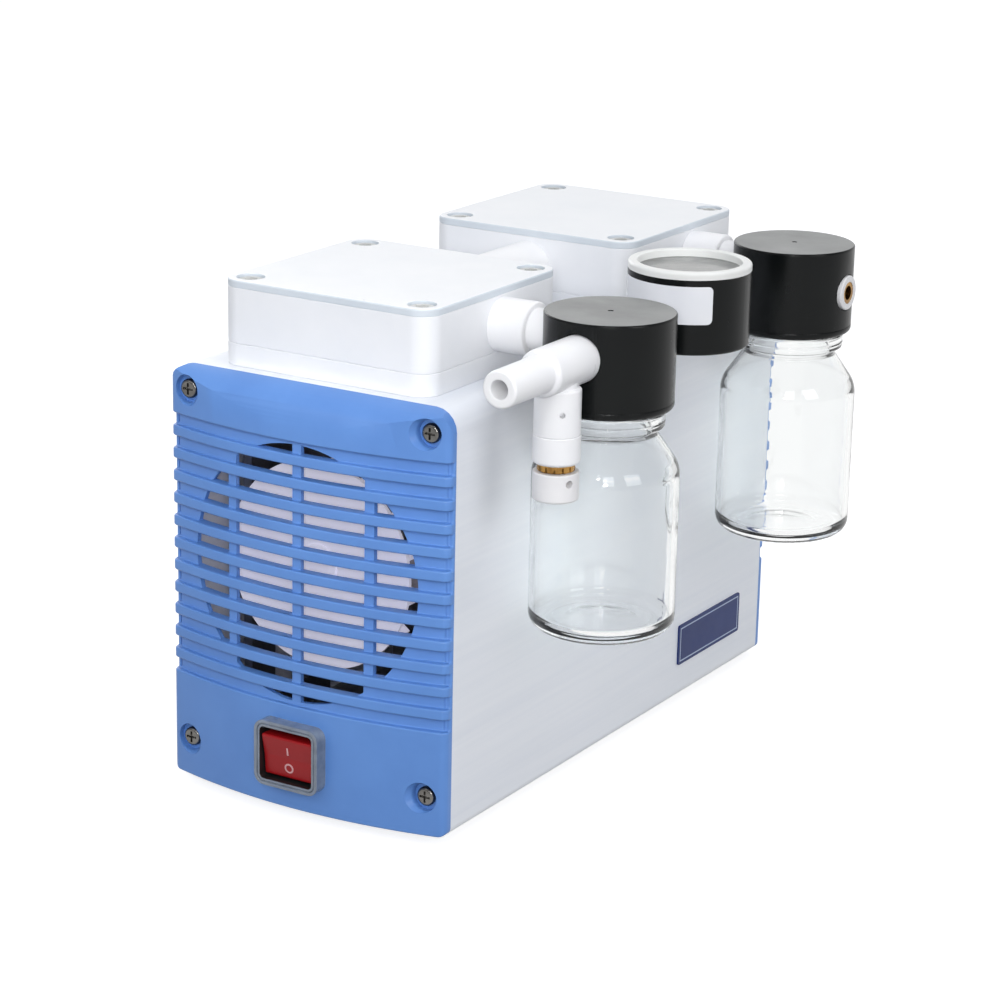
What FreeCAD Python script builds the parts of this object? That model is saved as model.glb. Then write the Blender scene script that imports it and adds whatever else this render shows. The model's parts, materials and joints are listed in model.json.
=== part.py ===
"""Two-head diaphragm vacuum pump with an inlet and an outlet catch bottle.

Millimetres. +Z is up, the blue front cover faces -Y and the bottles hang on the +X side. The
model is laid out from the housing: x = 0 is its middle, y = 0 is the joint between the front
cover and the sheet housing, z = 0 is the housing's underside. save() then moves each piece to
the row frame, whose origin is under the middle of the whole pump, on the plane of the feet.
"""
import FreeCAD, Part
import math
import os

V = FreeCAD.Vector

# Housing
body_w = 130.0
body_l = 260.0
body_h = 170.0
sheet = 2.0
top_edge_r = 9.0
bottom_edge_r = 3.0
lug_w = 14.0
lug_depth = 11.0
foot_r = 9.0
foot_h = 4.0
foot_inset_x = 24.0
foot_inset_y = 30.0
foot_screw_r = 2.5
plate_t = 3.0
plate_margin = 5.0

# Covers
cover_depth = 13.0
cover_edge_depth = 4.2
cover_edge_r = 3.2
cover_roll_r = 18.0
cover_wall = 2.0
rib_h = 2.2
rib_pitch = 9.25
rib_t = 4.3
grille_side_land = 13.0
grille_low_land = 7.5
mullion_w = 4.0
mullion_pitch = 32.0
mullion_count = 3
groove_rim = 1.2
cover_screw_dx = 56.0
cover_screw_top = 9.5
cover_screw_bottom = 15.5
cover_screw_seat = 2.6
cover_screw_r = 2.0
cover_screw_length = 9.0
cover_screw_head_r = 3.9
cover_screw_head_h = 2.2
cover_recess_r = 5.5

# Mains switch and inlet
switch_z = 23.5
bezel_w = 30.0
bezel_h = 27.0
bezel_r = 4.5
bezel_proud = 5.6
switch_body_w = 28.0
switch_body_h = 24.0
switch_body_depth = 18.0
switch_back_t = 3.0
window_gap = 0.2
rocker_w = 24.4
rocker_h = 18.0
rocker_back_h = 14.0
rocker_tilt = 9.0
rocker_gap = 0.4
rocker_swing_room = 1.6
rocker_pin_r = 1.5
rocker_pin_l = 1.0
rocker_sunk = 3.3
rocker_reach = 6.6
rocker_behind = 2.5
rocker_edge_r = 0.8
inlet_flange_w = 31.0
inlet_flange_h = 26.0
inlet_flange_t = 3.0
inlet_body_depth = 24.0
inlet_socket_w = 24.4
inlet_socket_h = 16.8
inlet_socket_depth = 15.2
inlet_wall = 1.6
inlet_pin_w = 2.0
inlet_pin_h = 4.0
inlet_pin_proud = 13.0
inlet_pin_dx = 7.0
inlet_pin_dz = 4.0

# Drive
shaft_rise = 11.5
shaft_r = 5.0
shaft_front_y = 3.0
shaft_rear_overrun = 4.0
slip = 0.05
motor_y = 130.0
motor_r = 52.0
stator_l = 76.0
stator_bore_r = 30.5
winding_r = 44.0
winding_l = 9.0
winding_room = 2.0
winding_lead = 1.0
slot_count = 12
slot_w = 4.0
slot_root = 4.0
air_gap = 0.5
rotor_l = 64.0
shield_t = 8.0
shield_vent_count = 6
shield_vent_r = 6.0
bearing_r = 13.0
bearing_w = 7.0
cradle_w = 56.0
cradle_l = 60.0
cradle_wall = 6.0
cradle_floor = 4.0
capacitor_r = 14.0
capacitor_l = 52.0
capacitor_x = 43.0
capacitor_cap_h = 3.0
capacitor_edge_r = 1.5
capacitor_tab_w = 0.8
capacitor_tab_h = 6.0
capacitor_tab_l = 8.0
capacitor_tab_pitch = 10.0
fan_r = 42.0
fan_disc_t = 1.6
fan_blade_l = 14.0
fan_blade_t = 1.4
fan_blade_inner_r = 20.0
fan_blade_count = 14
fan_hub_r = 9.0
fan_y = 4.0
crank_throw = 2.5
eccentric_r = 13.0
crank_bearing_r = 19.0
crank_bearing_w = 8.0
crank_hub_r = 11.0
crank_hub_l = 8.0
counterweight_r = 27.0
counterweight_t = 5.0
side_gap = 0.6
rod_ring_t = 5.0
rod_shank_w = 15.0
rod_web_t = 4.0
rod_rim_w = 3.5
rod_hollow_low = 2.0
rod_hollow_top = 3.0
rod_flange_t = 2.0

# Heads
head_end_gap = 5.5
head_w = 97.0
head_corner_r = 9.0
lower_h = 9.0
block_h = 22.0
lid_t = 3.0
lid_chamfer = 0.5
head_screw_inset = 8.95
head_screw_r = 3.0
head_screw_length = 35.0
head_screw_head_r = 5.0
head_screw_head_h = 6.0
head_screw_socket_af = 5.0
head_screw_socket_depth = 3.0
head_screw_sunk = 0.9
head_recess_r = 5.6
screw_hole_gap = 0.2
head_wall = 6.5
head_spigot_inset = 10.0
head_spigot_wall = 4.0
fit_gap = 0.1
diaphragm_t = 2.0
diaphragm_roll_inset = 5.0
diaphragm_roll_h = 3.0
diaphragm_roll_w = 4.0
clamp_land = 4.0
clamp_t = 2.5
clamp_stud_r = 4.0
clamp_gap = 0.35
diaphragm_land = 8.0
chamber_h = 9.4
chamber_edge_r = 3.0
valve_seat_t = 2.5
valve_wall = 5.7
valve_side_gap = 2.0
chamber_side_land = 1.0
valve_t = 1.0
valve_stem_r = 1.8
valve_hole_r = 1.4
valve_hole_count = 6
riser_r = 3.0
riser_inset = 9.5
duct_depth = 5.0
duct_w = 5.0
bracket_t = 4.0
bracket_plate_t = 5.0
bracket_side_land = 12.45
bracket_end_land = 7.0
bracket_fan_gap = 6.4
bracket_foot = 12.0
bracket_window_w = 24.0
bracket_window_low = 16.0
bracket_window_top = 50.0

# Gas fittings
port_r = 5.0
spigot_l = 6.0
spigot_wall = 2.2
transfer_drop = 16.0
transfer_r = 11.0
port_drop = 14.5
port_boss_r = 10.75
port_boss_l = 16.0
port_neck_r = 8.5
port_neck_l = 8.45
port_edge_r = 1.0
inlet_port_shift = 3.0
outlet_port_shift = 8.0

# Catch bottles
cap_r = 25.4
cap_below_port = 25.1
cap_h = 37.0
cap_top_r = 0.9
cap_foot_r = 2.2
cap_land = 0.5
cap_bore_r = 3.5
cap_drop_inset = 12.0
neck_r = 21.6
neck_engage = 11.5
neck_clearance = 0.5
bead_r = 22.3
bead_h = 6.2
bead_gap = 0.8
bead_edge_r = 0.8
neck_wall = 4.8
waist_inset = 2.2
waist_h = 2.8
waist_edge_r = 1.2
bottle_r = 28.6
bottle_h = 99.9
bottle_wall = 2.4
bottle_base = 5.0
bottle_heel_r = 6.0
bottle_punt_h = 1.6
bottle_punt_w = 12.0
bottle_punt_edge_r = 3.0
shoulder_h = 13.2
shoulder_r = 11.0
gasket_t = 2.0
gasket_w = 3.4
gasket_gap = 0.2

# Inlet tee and vacuum regulator
tee_drop = 2.0
tee_r = 9.2
tee_l = 28.6
tee_edge_r = 1.6
nozzle_r = 7.2
nozzle_l = 28.0
nozzle_bore_r = 3.6
nozzle_edge_r = 1.2
branch_shift = 14.6
branch_r = 8.9
branch_l = 25.5
branch_hole_drop = 16.5
branch_hole_r = 1.1
branch_hole_azimuth = 43.0
regulator_ring_r = 9.1
regulator_ring_h = 11.0
regulator_ring_edge_r = 1.5
regulator_seam_r = 0.4
thread_flange_r = 7.2
thread_flange_h = 2.8
thread_core_r = 4.0
thread_core_l = 8.0
thread_bore_r = 1.6
knob_r = 8.8
knob_h = 11.0
knob_chamfer = 1.0
knob_top_edge_r = 0.5
knob_hole_r = 1.5
knob_hole_drop = 3.5
knob_hole_azimuth = 66.0
knob_gap = 0.3

# Vacuum gauge
gauge_y = 120.0
gauge_r = 24.5
gauge_below_tee = 10.5
gauge_h = 30.0
gauge_wall = 2.4
gauge_recess = 10.5
gauge_rim_step = 1.5
gauge_bezel_h = 3.0
gauge_bezel_w = 3.8
gauge_edge_r = 1.2
dial_t = 0.8
dial_gap = 0.1
lens_t = 1.5
pointer_r = 1.4
pointer_l = 16.0
pointer_tail = 6.0
pointer_t = 0.8
pointer_lift = 2.6
pointer_hub_r = 2.8
pointer_bearing_l = 5.0
pointer_base_w = 1.8
pointer_tip_w = 0.5
pointer_rest = 225.0
stem_r = 5.0
stem_hex_af = 14.0
stem_hex_l = 6.0

# Exhaust fitting and nameplate
exhaust_drop = 6.5
exhaust_nut_r = 7.3
exhaust_nut_t = 1.9
exhaust_nut_edge_r = 0.6
exhaust_sleeve_r = 4.6
exhaust_sleeve_sunk = 0.3
exhaust_bore_r = 3.0
nameplate_y = 183.0
nameplate_l = 57.0
nameplate_z = 15.0
nameplate_h = 18.0
nameplate_t = 0.8
nameplate_corner_r = 1.2

# Places that follow from the sizes above
head_front_y = head_end_gap + head_w / 2
head_rear_y = body_l - head_front_y
head_screw_pitch = head_w - 2 * head_screw_inset
block_bottom_z = body_h + lower_h
block_top_z = block_bottom_z + block_h
lid_top_z = block_top_z + lid_t
diaphragm_r = head_w / 2 - head_wall
spigot_r = diaphragm_r - head_spigot_inset
rod_opening_r = spigot_r - head_spigot_wall
chamber_r = diaphragm_r - diaphragm_land
diaphragm_roll_r = chamber_r - diaphragm_roll_inset
clamp_r = diaphragm_roll_r - diaphragm_roll_w - clamp_land
chamber_top_z = block_bottom_z + chamber_h
pocket_floor_z = chamber_top_z + valve_seat_t
diaphragm_z = block_bottom_z - diaphragm_t / 2
valve_pocket_r = (chamber_r - chamber_side_land - valve_wall / math.sqrt(2)) / (1 + math.sqrt(2))
valve_offset = (2 * valve_pocket_r + valve_wall) / math.sqrt(2)
valve_r = valve_pocket_r - valve_side_gap
valve_hole_ring_r = (valve_stem_r + valve_r) / 2
riser_offset = head_w / 2 - riser_inset
bracket_top_z = body_h - sheet
bracket_w = head_screw_pitch + 2 * bracket_side_land
base_z = sheet + plate_t
shaft_z = body_h / 2 + shaft_rise
fan_rear_y = fan_y + fan_disc_t + fan_blade_l
bracket_l = 2 * (head_front_y - fan_rear_y - bracket_fan_gap)
port_z = lid_top_z - port_drop
transfer_z = lid_top_z - transfer_drop
inlet_cap_y = head_front_y + inlet_port_shift
outlet_cap_y = head_rear_y + outlet_port_shift
cap_bottom_z = port_z - cap_below_port
cap_top_z = cap_bottom_z + cap_h
bottle_top_z = cap_bottom_z + neck_engage
bottle_bottom_z = bottle_top_z - bottle_h
tee_z = port_z - tee_drop
branch_split_z = tee_z - branch_l
branch_hole_z = tee_z - branch_hole_drop
gauge_bottom_z = tee_z - gauge_below_tee
exhaust_z = port_z - exhaust_drop
groove_h = rib_pitch - rib_t
grille_r = min(body_w / 2 - grille_side_land, shaft_z - switch_z - bezel_h / 2 - grille_low_land)
rib_count = 2 * int(grille_r / rib_pitch) + 1
stator_front_y = motor_y - stator_l / 2
stator_rear_y = motor_y + stator_l / 2


def flat_depth(outer_r, inner_r):
    """How far inside a cylinder's surface a flat lies that takes a round face of inner_r."""
    return outer_r - math.sqrt(outer_r ** 2 - inner_r ** 2)


bottle_x = (head_w / 2 + port_boss_l + port_neck_l
            + cap_r - flat_depth(cap_r, port_neck_r + cap_land))
rocker_front_y = -cover_depth - bezel_proud + rocker_sunk
rocker_axis_y = rocker_front_y + rocker_reach
tee_face_y = inlet_cap_y - cap_r + flat_depth(cap_r, tee_r + cap_land)
tee_end_y = tee_face_y - tee_l
nozzle_tip_y = tee_end_y - nozzle_l
branch_y = tee_face_y - branch_shift
ring_bottom_z = branch_split_z - regulator_ring_h
knob_top_z = ring_bottom_z - thread_flange_h - knob_gap

rear_reach_y = body_l + cover_depth + inlet_flange_t

# Middle of the whole pump, and the plane of its feet
origin = V(
    (bottle_x + max(cap_r, bottle_r) - body_w / 2) / 2,
    (nozzle_tip_y + rear_reach_y) / 2,
    -foot_h,
)


def box(x0, x1, y0, y1, z0, z1):
    return Part.makeBox(x1 - x0, y1 - y0, z1 - z0, V(x0, y0, z0))


def tube_z(x, y, z0, z1, r):
    return Part.makeCylinder(r, z1 - z0, V(x, y, z0), V(0, 0, 1))


def tube_y(x, z, y0, y1, r):
    return Part.makeCylinder(r, y1 - y0, V(x, y0, z), V(0, 1, 0))


def tube_x(y, z, x0, x1, r):
    return Part.makeCylinder(r, x1 - x0, V(x0, y, z), V(1, 0, 0))


def outline(corners):
    """Closed wire through (point, radius) corners; a radius above zero rounds its corner."""
    ends = []
    arcs = []
    count = len(corners)
    for i, (point, r) in enumerate(corners):
        to_last = (corners[i - 1][0] - point).normalize()
        to_next = (corners[(i + 1) % count][0] - point).normalize()
        if r <= 0:
            ends.append((point, point))
            arcs.append(None)
            continue
        half = to_last.getAngle(to_next) / 2
        reach = r / math.tan(half)
        first = point + to_last * reach
        last = point + to_next * reach
        middle = (to_last + to_next).normalize()
        centre = point + middle * (r / math.sin(half))
        ends.append((first, last))
        arcs.append(Part.Arc(first, centre - middle * r, last).toShape())
    edges = []
    for i in range(count):
        if arcs[i]:
            edges.append(arcs[i])
        here = ends[i][1]
        there = ends[(i + 1) % count][0]
        if here.distanceToPoint(there) > 1e-6:
            edges.append(Part.LineSegment(here, there).toShape())
    return Part.Wire(edges)


def prism(corners, direction):
    """Outline of (point, radius) corners swept along a vector."""
    return Part.Face(outline(corners)).extrude(direction)


def turned(profile, x, y):
    """Outline of (radius, height[, corner radius]) points, turned about the vertical at x, y."""
    corners = [(V(x + p[0], y, p[1]), p[2] if len(p) > 2 else 0) for p in profile]
    return Part.Face(outline(corners)).revolve(V(x, y, 0), V(0, 0, 1), 360)


def edges_where(shape, test):
    return [e for e in shape.Edges if test(e.BoundBox)]


def upright_block(x0, x1, y0, y1, z0, z1, r):
    """Block with its four upright edges rounded."""
    corners = [(V(x0, y0, z0), r), (V(x1, y0, z0), r), (V(x1, y1, z0), r), (V(x0, y1, z0), r)]
    return prism(corners, V(0, 0, z1 - z0))


def level_block(x0, x1, y0, y1, z0, z1, r):
    """Block with its four edges along Y rounded."""
    corners = [(V(x0, y0, z0), r), (V(x1, y0, z0), r), (V(x1, y0, z1), r), (V(x0, y0, z1), r)]
    return prism(corners, V(0, y1 - y0, 0))


def hex_y(x, z, y0, y1, across_flats):
    """Hexagon bar along Y."""
    r = across_flats / math.sqrt(3)
    corners = [(V(x + r * math.cos(a * math.pi / 3), y0, z + r * math.sin(a * math.pi / 3)), 0)
               for a in range(6)]
    return prism(corners, V(0, y1 - y0, 0))


def hex_z(x, y, z0, z1, across_flats):
    """Hexagon bar along Z."""
    r = across_flats / math.sqrt(3)
    corners = [(V(x + r * math.cos(a * math.pi / 3), y + r * math.sin(a * math.pi / 3), z0), 0)
               for a in range(6)]
    return prism(corners, V(0, 0, z1 - z0))


def outward(azimuth):
    """Level direction, counted from -Y towards +X."""
    a = math.radians(azimuth)
    return V(math.sin(a), -math.cos(a), 0)


def turned_round(shape):
    """The same piece at the other end of the housing, half a turn about the vertical away."""
    other = shape.copy()
    other.rotate(V(0, body_l / 2, 0), V(0, 0, 1), 180)
    return other


def save(name, *solids):
    shape = solids[0] if len(solids) == 1 else Part.makeCompound(list(solids))
    shape = shape.copy()
    shape.translate(origin * -1)
    if not shape.isValid():
        print("not valid:", name)
    shape.exportStep("parts/" + name + ".step")


def housing_section(inset, y0, y1):
    """The housing's outline, large top corners and small bottom ones, swept along Y."""
    half = body_w / 2 - inset
    top_r = max(top_edge_r - inset, 0)
    bottom_r = max(bottom_edge_r - inset, 0)
    corners = [(V(-half, y0, inset), bottom_r), (V(half, y0, inset), bottom_r),
               (V(half, y0, body_h - inset), top_r), (V(-half, y0, body_h - inset), top_r)]
    return prism(corners, V(0, y1 - y0, 0))


def cover_screw_places():
    return [(side * cover_screw_dx, z) for side in (-1, 1)
            for z in (cover_screw_bottom, body_h - cover_screw_top)]


def head_screw_places(head_y):
    half = head_screw_pitch / 2
    return [(dx, head_y + dy) for dx in (-half, half) for dy in (-half, half)]


def foot_places():
    x = body_w / 2 - foot_inset_x
    return [(side * x, y) for side in (-1, 1) for y in (foot_inset_y, body_l - foot_inset_y)]


def make_enclosure():
    """Folded sheet housing, open at both ends, with screw lugs in its corners."""
    shell = housing_section(0, 0, body_l).cut(housing_section(sheet, -1, body_l + 1))
    inside = housing_section(0, 0, body_l)
    lugs = []
    for x, z in cover_screw_places():
        wall_x = math.copysign(body_w / 2 - sheet / 2, x)
        free_x = wall_x - math.copysign(lug_w, x)
        low = z < body_h / 2
        z0 = sheet / 2 if low else z - lug_w / 2
        z1 = z + lug_w / 2 if low else body_h - sheet / 2
        for y0 in (0, body_l - lug_depth):
            lug = box(min(wall_x, free_x), max(wall_x, free_x), y0, y0 + lug_depth, z0, z1)
            lugs.append(lug.common(inside))
    shell = shell.fuse(lugs)
    holes = []
    for x, z in cover_screw_places():
        holes.append(tube_y(x, z, -1, lug_depth + 1, cover_screw_r + slip))
        holes.append(tube_y(x, z, body_l - lug_depth - 1, body_l + 1, cover_screw_r + slip))
    for head_y in (head_front_y, head_rear_y):
        holes.append(tube_z(0, head_y, body_h - 2 * sheet, body_h + 1, spigot_r + fit_gap))
        for x, y in head_screw_places(head_y):
            holes.append(tube_z(x, y, body_h - 2 * sheet, body_h + 1, head_screw_r + screw_hole_gap))
    for x, y in foot_places():
        holes.append(tube_z(x, y, -1, 2 * sheet, foot_screw_r + screw_hole_gap))
    return shell.cut(holes).removeSplitter()


def make_base_plate():
    half = body_w / 2 - sheet - plate_margin
    plate = box(-half, half, lug_depth + 1, body_l - lug_depth - 1, sheet, base_z)
    holes = [tube_z(x, y, 0, base_z + 1, foot_screw_r + screw_hole_gap) for x, y in foot_places()]
    return plate.cut(holes)


def make_feet():
    """Round rubber feet, each with its screw moulded in."""
    feet = []
    for x, y in foot_places():
        pad = turned([(0, -foot_h), (foot_r, -foot_h, 1.0), (foot_r, 0), (foot_screw_r, 0),
                      (foot_screw_r, base_z), (0, base_z)], x, y)
        feet.append(pad)
    return feet


def cover_form(inset):
    """Solid inside a cover's skin: bowed in plan, rolled back at the top."""
    half = body_w / 2 - inset
    depth = cover_depth - inset
    edge = max(cover_edge_depth - inset, slip)
    left = V(-half, -edge, 0)
    right = V(half, -edge, 0)
    bow = Part.Arc(left, V(0, -depth, 0), right).toShape()
    rim = Part.makePolygon([right, V(half, 0, 0), V(-half, 0, 0), left])
    plan = Part.Face(Part.Wire([bow] + rim.Edges)).extrude(V(0, 0, body_h))
    if inset == 0:
        corner = edges_where(plan, lambda b: b.ZLength > body_h * 0.99
                             and abs(b.YMin + cover_edge_depth) < 0.01)
        plan = plan.makeFillet(cover_edge_r, corner)
    top = body_h - inset
    roll_r = cover_roll_r - inset
    back = roll_r - depth
    start_z = top - math.sqrt(roll_r ** 2 - back ** 2)
    half_turn = (math.pi + math.acos(-back / roll_r)) / 2
    middle = V(0, back + roll_r * math.cos(half_turn), start_z + roll_r * math.sin(half_turn))
    roll = Part.Arc(V(0, -depth, start_z), middle, V(0, 0, top)).toShape()
    straight = Part.makePolygon([V(0, 0, top), V(0, 0, inset), V(0, -depth, inset),
                                 V(0, -depth, start_z)])
    side = Part.Face(Part.Wire([roll] + straight.Edges)).extrude(V(body_w, 0, 0))
    side.translate(V(-body_w / 2, 0, 0))
    return plan.common(housing_section(inset, -cover_depth - 1, 0)).common(side)


def make_cover(window_w, window_h):
    """Moulded cover with ribs right across it and, inside a circle, slots between them."""
    outer = cover_form(0)
    skin = outer.cut(cover_form(rib_h))
    groove_count = rib_count + 1
    bands = []
    for i in range(groove_count):
        z = shaft_z + (i - (groove_count - 1) / 2) * rib_pitch
        bands.append(box(-body_w, body_w, -cover_depth - 1, -groove_rim,
                         z - groove_h / 2, z + groove_h / 2))
    bands = Part.makeCompound(bands)
    columns = []
    for i in range(mullion_count + 1):
        x0 = (i - (mullion_count + 1) / 2) * mullion_pitch + mullion_w / 2
        columns.append(box(x0, x0 + mullion_pitch - mullion_w, -cover_depth - 1, 1, 0, body_h))
    disc = tube_y(0, shaft_z, -cover_depth - 1, 1, grille_r)
    slots = disc.common(bands).common(Part.makeCompound(columns))
    holes = [skin.common(bands), slots]
    holes.append(box(-window_w / 2, window_w / 2, -cover_depth - 1, 1,
                     switch_z - window_h / 2, switch_z + window_h / 2))
    for x, z in cover_screw_places():
        holes.append(tube_y(x, z, -cover_depth - 1, -cover_screw_seat, cover_recess_r))
        holes.append(tube_y(x, z, -cover_depth - 1, 1, cover_screw_r + screw_hole_gap))
    seats = [tube_y(x, z, -cover_screw_seat, 0, cover_recess_r + cover_wall).common(outer)
             for x, z in cover_screw_places()]
    cover = outer.cut(cover_form(cover_wall + rib_h)).fuse(seats)
    return cover.cut(holes).removeSplitter()


def cover_screw(x, z):
    """Pan head screw with a cross recess, its head on the bottom of the cover's recess."""
    seat = -cover_screw_seat
    top = seat - cover_screw_head_h
    head = tube_y(x, z, top, seat, cover_screw_head_r)
    rim = edges_where(head, lambda b: b.YMax < top + 0.01)
    head = head.makeFillet(cover_screw_head_h * 0.6, rim)
    shank = tube_y(x, z, seat, seat + cover_screw_length, cover_screw_r)
    long = cover_screw_head_r * 0.6
    thin = cover_screw_head_r * 0.12
    cross = [box(x - long, x + long, top - 1, top + 1.2, z - thin, z + thin),
             box(x - thin, x + thin, top - 1, top + 1.2, z - long, z + long)]
    return head.fuse(shank).cut(cross).removeSplitter()


def make_bezel():
    """Switch frame that stands out of the cover, with the switch body behind it."""
    front = -cover_depth - bezel_proud
    back = -cover_depth + switch_body_depth
    collar = level_block(-bezel_w / 2, bezel_w / 2, front, 0,
                         switch_z - bezel_h / 2, switch_z + bezel_h / 2, bezel_r)
    collar = collar.cut(cover_form(0))
    body = box(-switch_body_w / 2, switch_body_w / 2, -cover_depth - bezel_proud / 2, back,
               switch_z - switch_body_h / 2, switch_z + switch_body_h / 2)
    half_w = rocker_w / 2 + rocker_gap
    half_h = rocker_h / 2 + rocker_swing_room
    pocket = box(-half_w, half_w, front - 1, back - switch_back_t,
                 switch_z - half_h, switch_z + half_h)
    pin_end = half_w + rocker_pin_l + rocker_gap
    pin = tube_x(rocker_axis_y, switch_z, -pin_end, pin_end, rocker_pin_r + slip)
    return collar.fuse(body).cut([pocket, pin]).removeSplitter()


def make_rocker():
    """Rocker with a shallow V front, turned to off: its lower half pressed in."""
    half = rocker_h / 2
    rise = half * math.tan(math.radians(rocker_tilt))
    back = rocker_axis_y + rocker_behind
    x0 = -rocker_w / 2
    corners = [(V(x0, rocker_front_y, switch_z), 0),
               (V(x0, rocker_front_y - rise, switch_z + half), rocker_edge_r),
               (V(x0, back, switch_z + rocker_back_h / 2), 0),
               (V(x0, back, switch_z - rocker_back_h / 2), 0),
               (V(x0, rocker_front_y - rise, switch_z - half), rocker_edge_r)]
    body = prism(corners, V(rocker_w, 0, 0))
    reach = rocker_w / 2 + rocker_gap + rocker_pin_l
    pin = tube_x(rocker_axis_y, switch_z, -reach, reach, rocker_pin_r)
    rocker = body.fuse(pin).removeSplitter()
    rocker.rotate(V(0, rocker_axis_y, switch_z), V(1, 0, 0), rocker_tilt)
    return rocker


def make_mains_inlet():
    """Inlet socket in the rear cover: flange outside, box inside, three blade pins."""
    face = -cover_depth - inlet_flange_t
    flange = level_block(-inlet_flange_w / 2, inlet_flange_w / 2, face, 0,
                         switch_z - inlet_flange_h / 2, switch_z + inlet_flange_h / 2, 2.0)
    flange = flange.cut(cover_form(0))
    half_w = inlet_socket_w / 2 + inlet_wall
    half_h = inlet_socket_h / 2 + inlet_wall
    body = box(-half_w, half_w, -cover_depth - inlet_flange_t / 2, -cover_depth + inlet_body_depth,
               switch_z - half_h, switch_z + half_h)
    cut_y = face + inlet_socket_depth
    socket = level_block(-inlet_socket_w / 2, inlet_socket_w / 2, face - 1, cut_y,
                         switch_z - inlet_socket_h / 2, switch_z + inlet_socket_h / 2, 1.5)
    shell = flange.fuse(body).cut(socket).removeSplitter()
    pins = []
    for x, dz in ((0, inlet_pin_dz), (-inlet_pin_dx, -inlet_pin_dz), (inlet_pin_dx, -inlet_pin_dz)):
        z = switch_z + dz
        pins.append(box(x - inlet_pin_w / 2, x + inlet_pin_w / 2, cut_y - inlet_pin_proud, cut_y,
                        z - inlet_pin_h / 2, z + inlet_pin_h / 2))
    return turned_round(shell), [turned_round(pin) for pin in pins]


def make_stator():
    """Core with slots round its bore, and a ring of winding at each end."""
    core = tube_y(0, shaft_z, stator_front_y, stator_rear_y, motor_r)
    bore = tube_y(0, shaft_z, stator_front_y - 1, stator_rear_y + 1, stator_bore_r)
    cuts = [bore]
    for y0 in (stator_front_y - 1, stator_rear_y - winding_l):
        cuts.append(tube_y(0, shaft_z, y0, y0 + winding_l + 1, winding_r + winding_room))
    core = core.cut(cuts)
    slots = []
    for i in range(slot_count):
        slot = box(-slot_w / 2, slot_w / 2, stator_front_y + winding_l, stator_rear_y - winding_l,
                   shaft_z + stator_bore_r - 1, shaft_z + winding_r - slot_root)
        slot.rotate(V(0, 0, shaft_z), V(0, 1, 0), i * 360 / slot_count)
        slots.append(slot)
    return core.cut(slots)


def make_windings():
    rings = []
    for y0 in (stator_front_y + winding_lead, stator_rear_y - winding_l):
        ring = tube_y(0, shaft_z, y0, y0 + winding_l - winding_lead, winding_r)
        rings.append(ring.cut(tube_y(0, shaft_z, y0 - 1, y0 + winding_l, stator_bore_r + winding_room)))
    return rings


def make_shields():
    """Motor end shields, each with a boss that carries a ball bearing."""
    shields = []
    for face, out in ((stator_front_y, -1), (stator_rear_y, 1)):
        y0, y1 = sorted((face, face + out * shield_t))
        plate = tube_y(0, shaft_z, y0, y1, motor_r)
        seat0, seat1 = sorted((face, face + out * bearing_w))
        seat = tube_y(0, shaft_z, seat0, seat1, bearing_r + slip)
        hole = tube_y(0, shaft_z, y0 - 1, y1 + 1, shaft_r + side_gap)
        vents = []
        for i in range(shield_vent_count):
            vent = tube_y(0, shaft_z + (motor_r + bearing_r) / 2, y0 - 1, y1 + 1, shield_vent_r)
            vent.rotate(V(0, 0, shaft_z), V(0, 1, 0), (i + 0.5) * 360 / shield_vent_count)
            vents.append(vent)
        shields.append(plate.cut([seat, hole] + vents))
    return shields


def make_motor_bearings():
    rings = []
    for y0 in (stator_front_y - bearing_w, stator_rear_y):
        ring = tube_y(0, shaft_z, y0, y0 + bearing_w, bearing_r)
        rings.append(ring.cut(tube_y(0, shaft_z, y0 - 1, y0 + bearing_w + 1, shaft_r + slip)))
    return rings


def make_cradle():
    """Saddle that holds the motor on the base plate."""
    y0 = motor_y - cradle_l / 2
    y1 = motor_y + cradle_l / 2
    block = box(-cradle_w / 2, cradle_w / 2, y0, y1, base_z, shaft_z - motor_r / 2)
    tunnel = box(-cradle_w / 2 + cradle_wall, cradle_w / 2 - cradle_wall, y0 - 1, y1 + 1,
                 base_z + cradle_floor, shaft_z - motor_r - cradle_wall)
    return block.cut([tube_y(0, shaft_z, y0 - 1, y1 + 1, motor_r + slip), tunnel])


def make_capacitor():
    """Run capacitor lying in the corner beside the cradle."""
    z = base_z + capacitor_r
    y0 = motor_y - capacitor_l / 2
    can = tube_y(capacitor_x, z, y0, y0 + capacitor_l, capacitor_r)
    can = can.makeFillet(capacitor_edge_r, edges_where(can, lambda b: b.YMin > y0 + capacitor_l - 0.01))
    lid = tube_y(capacitor_x, z, y0 - capacitor_cap_h, y0, capacitor_r - capacitor_edge_r)
    tabs = []
    for side in (-1, 1):
        x = capacitor_x + side * capacitor_tab_pitch / 2
        tabs.append(box(x - capacitor_tab_w / 2, x + capacitor_tab_w / 2,
                        y0 - capacitor_cap_h - capacitor_tab_l, y0 - capacitor_cap_h / 2,
                        z - capacitor_tab_h / 2, z + capacitor_tab_h / 2))
    return can.fuse([lid] + tabs).removeSplitter()


def make_shaft():
    y1 = head_rear_y + crank_bearing_w / 2 + side_gap + crank_hub_l + shaft_rear_overrun
    shaft = tube_y(0, shaft_z, shaft_front_y, y1, shaft_r)
    ends = edges_where(shaft, lambda b: b.YLength < 0.01)
    return shaft.makeChamfer(0.8, ends)


def make_rotor():
    rotor = tube_y(0, shaft_z, motor_y - rotor_l / 2, motor_y + rotor_l / 2, stator_bore_r - air_gap)
    bore = tube_y(0, shaft_z, motor_y - rotor_l, motor_y + rotor_l, shaft_r + slip)
    return rotor.cut(bore)


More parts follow.
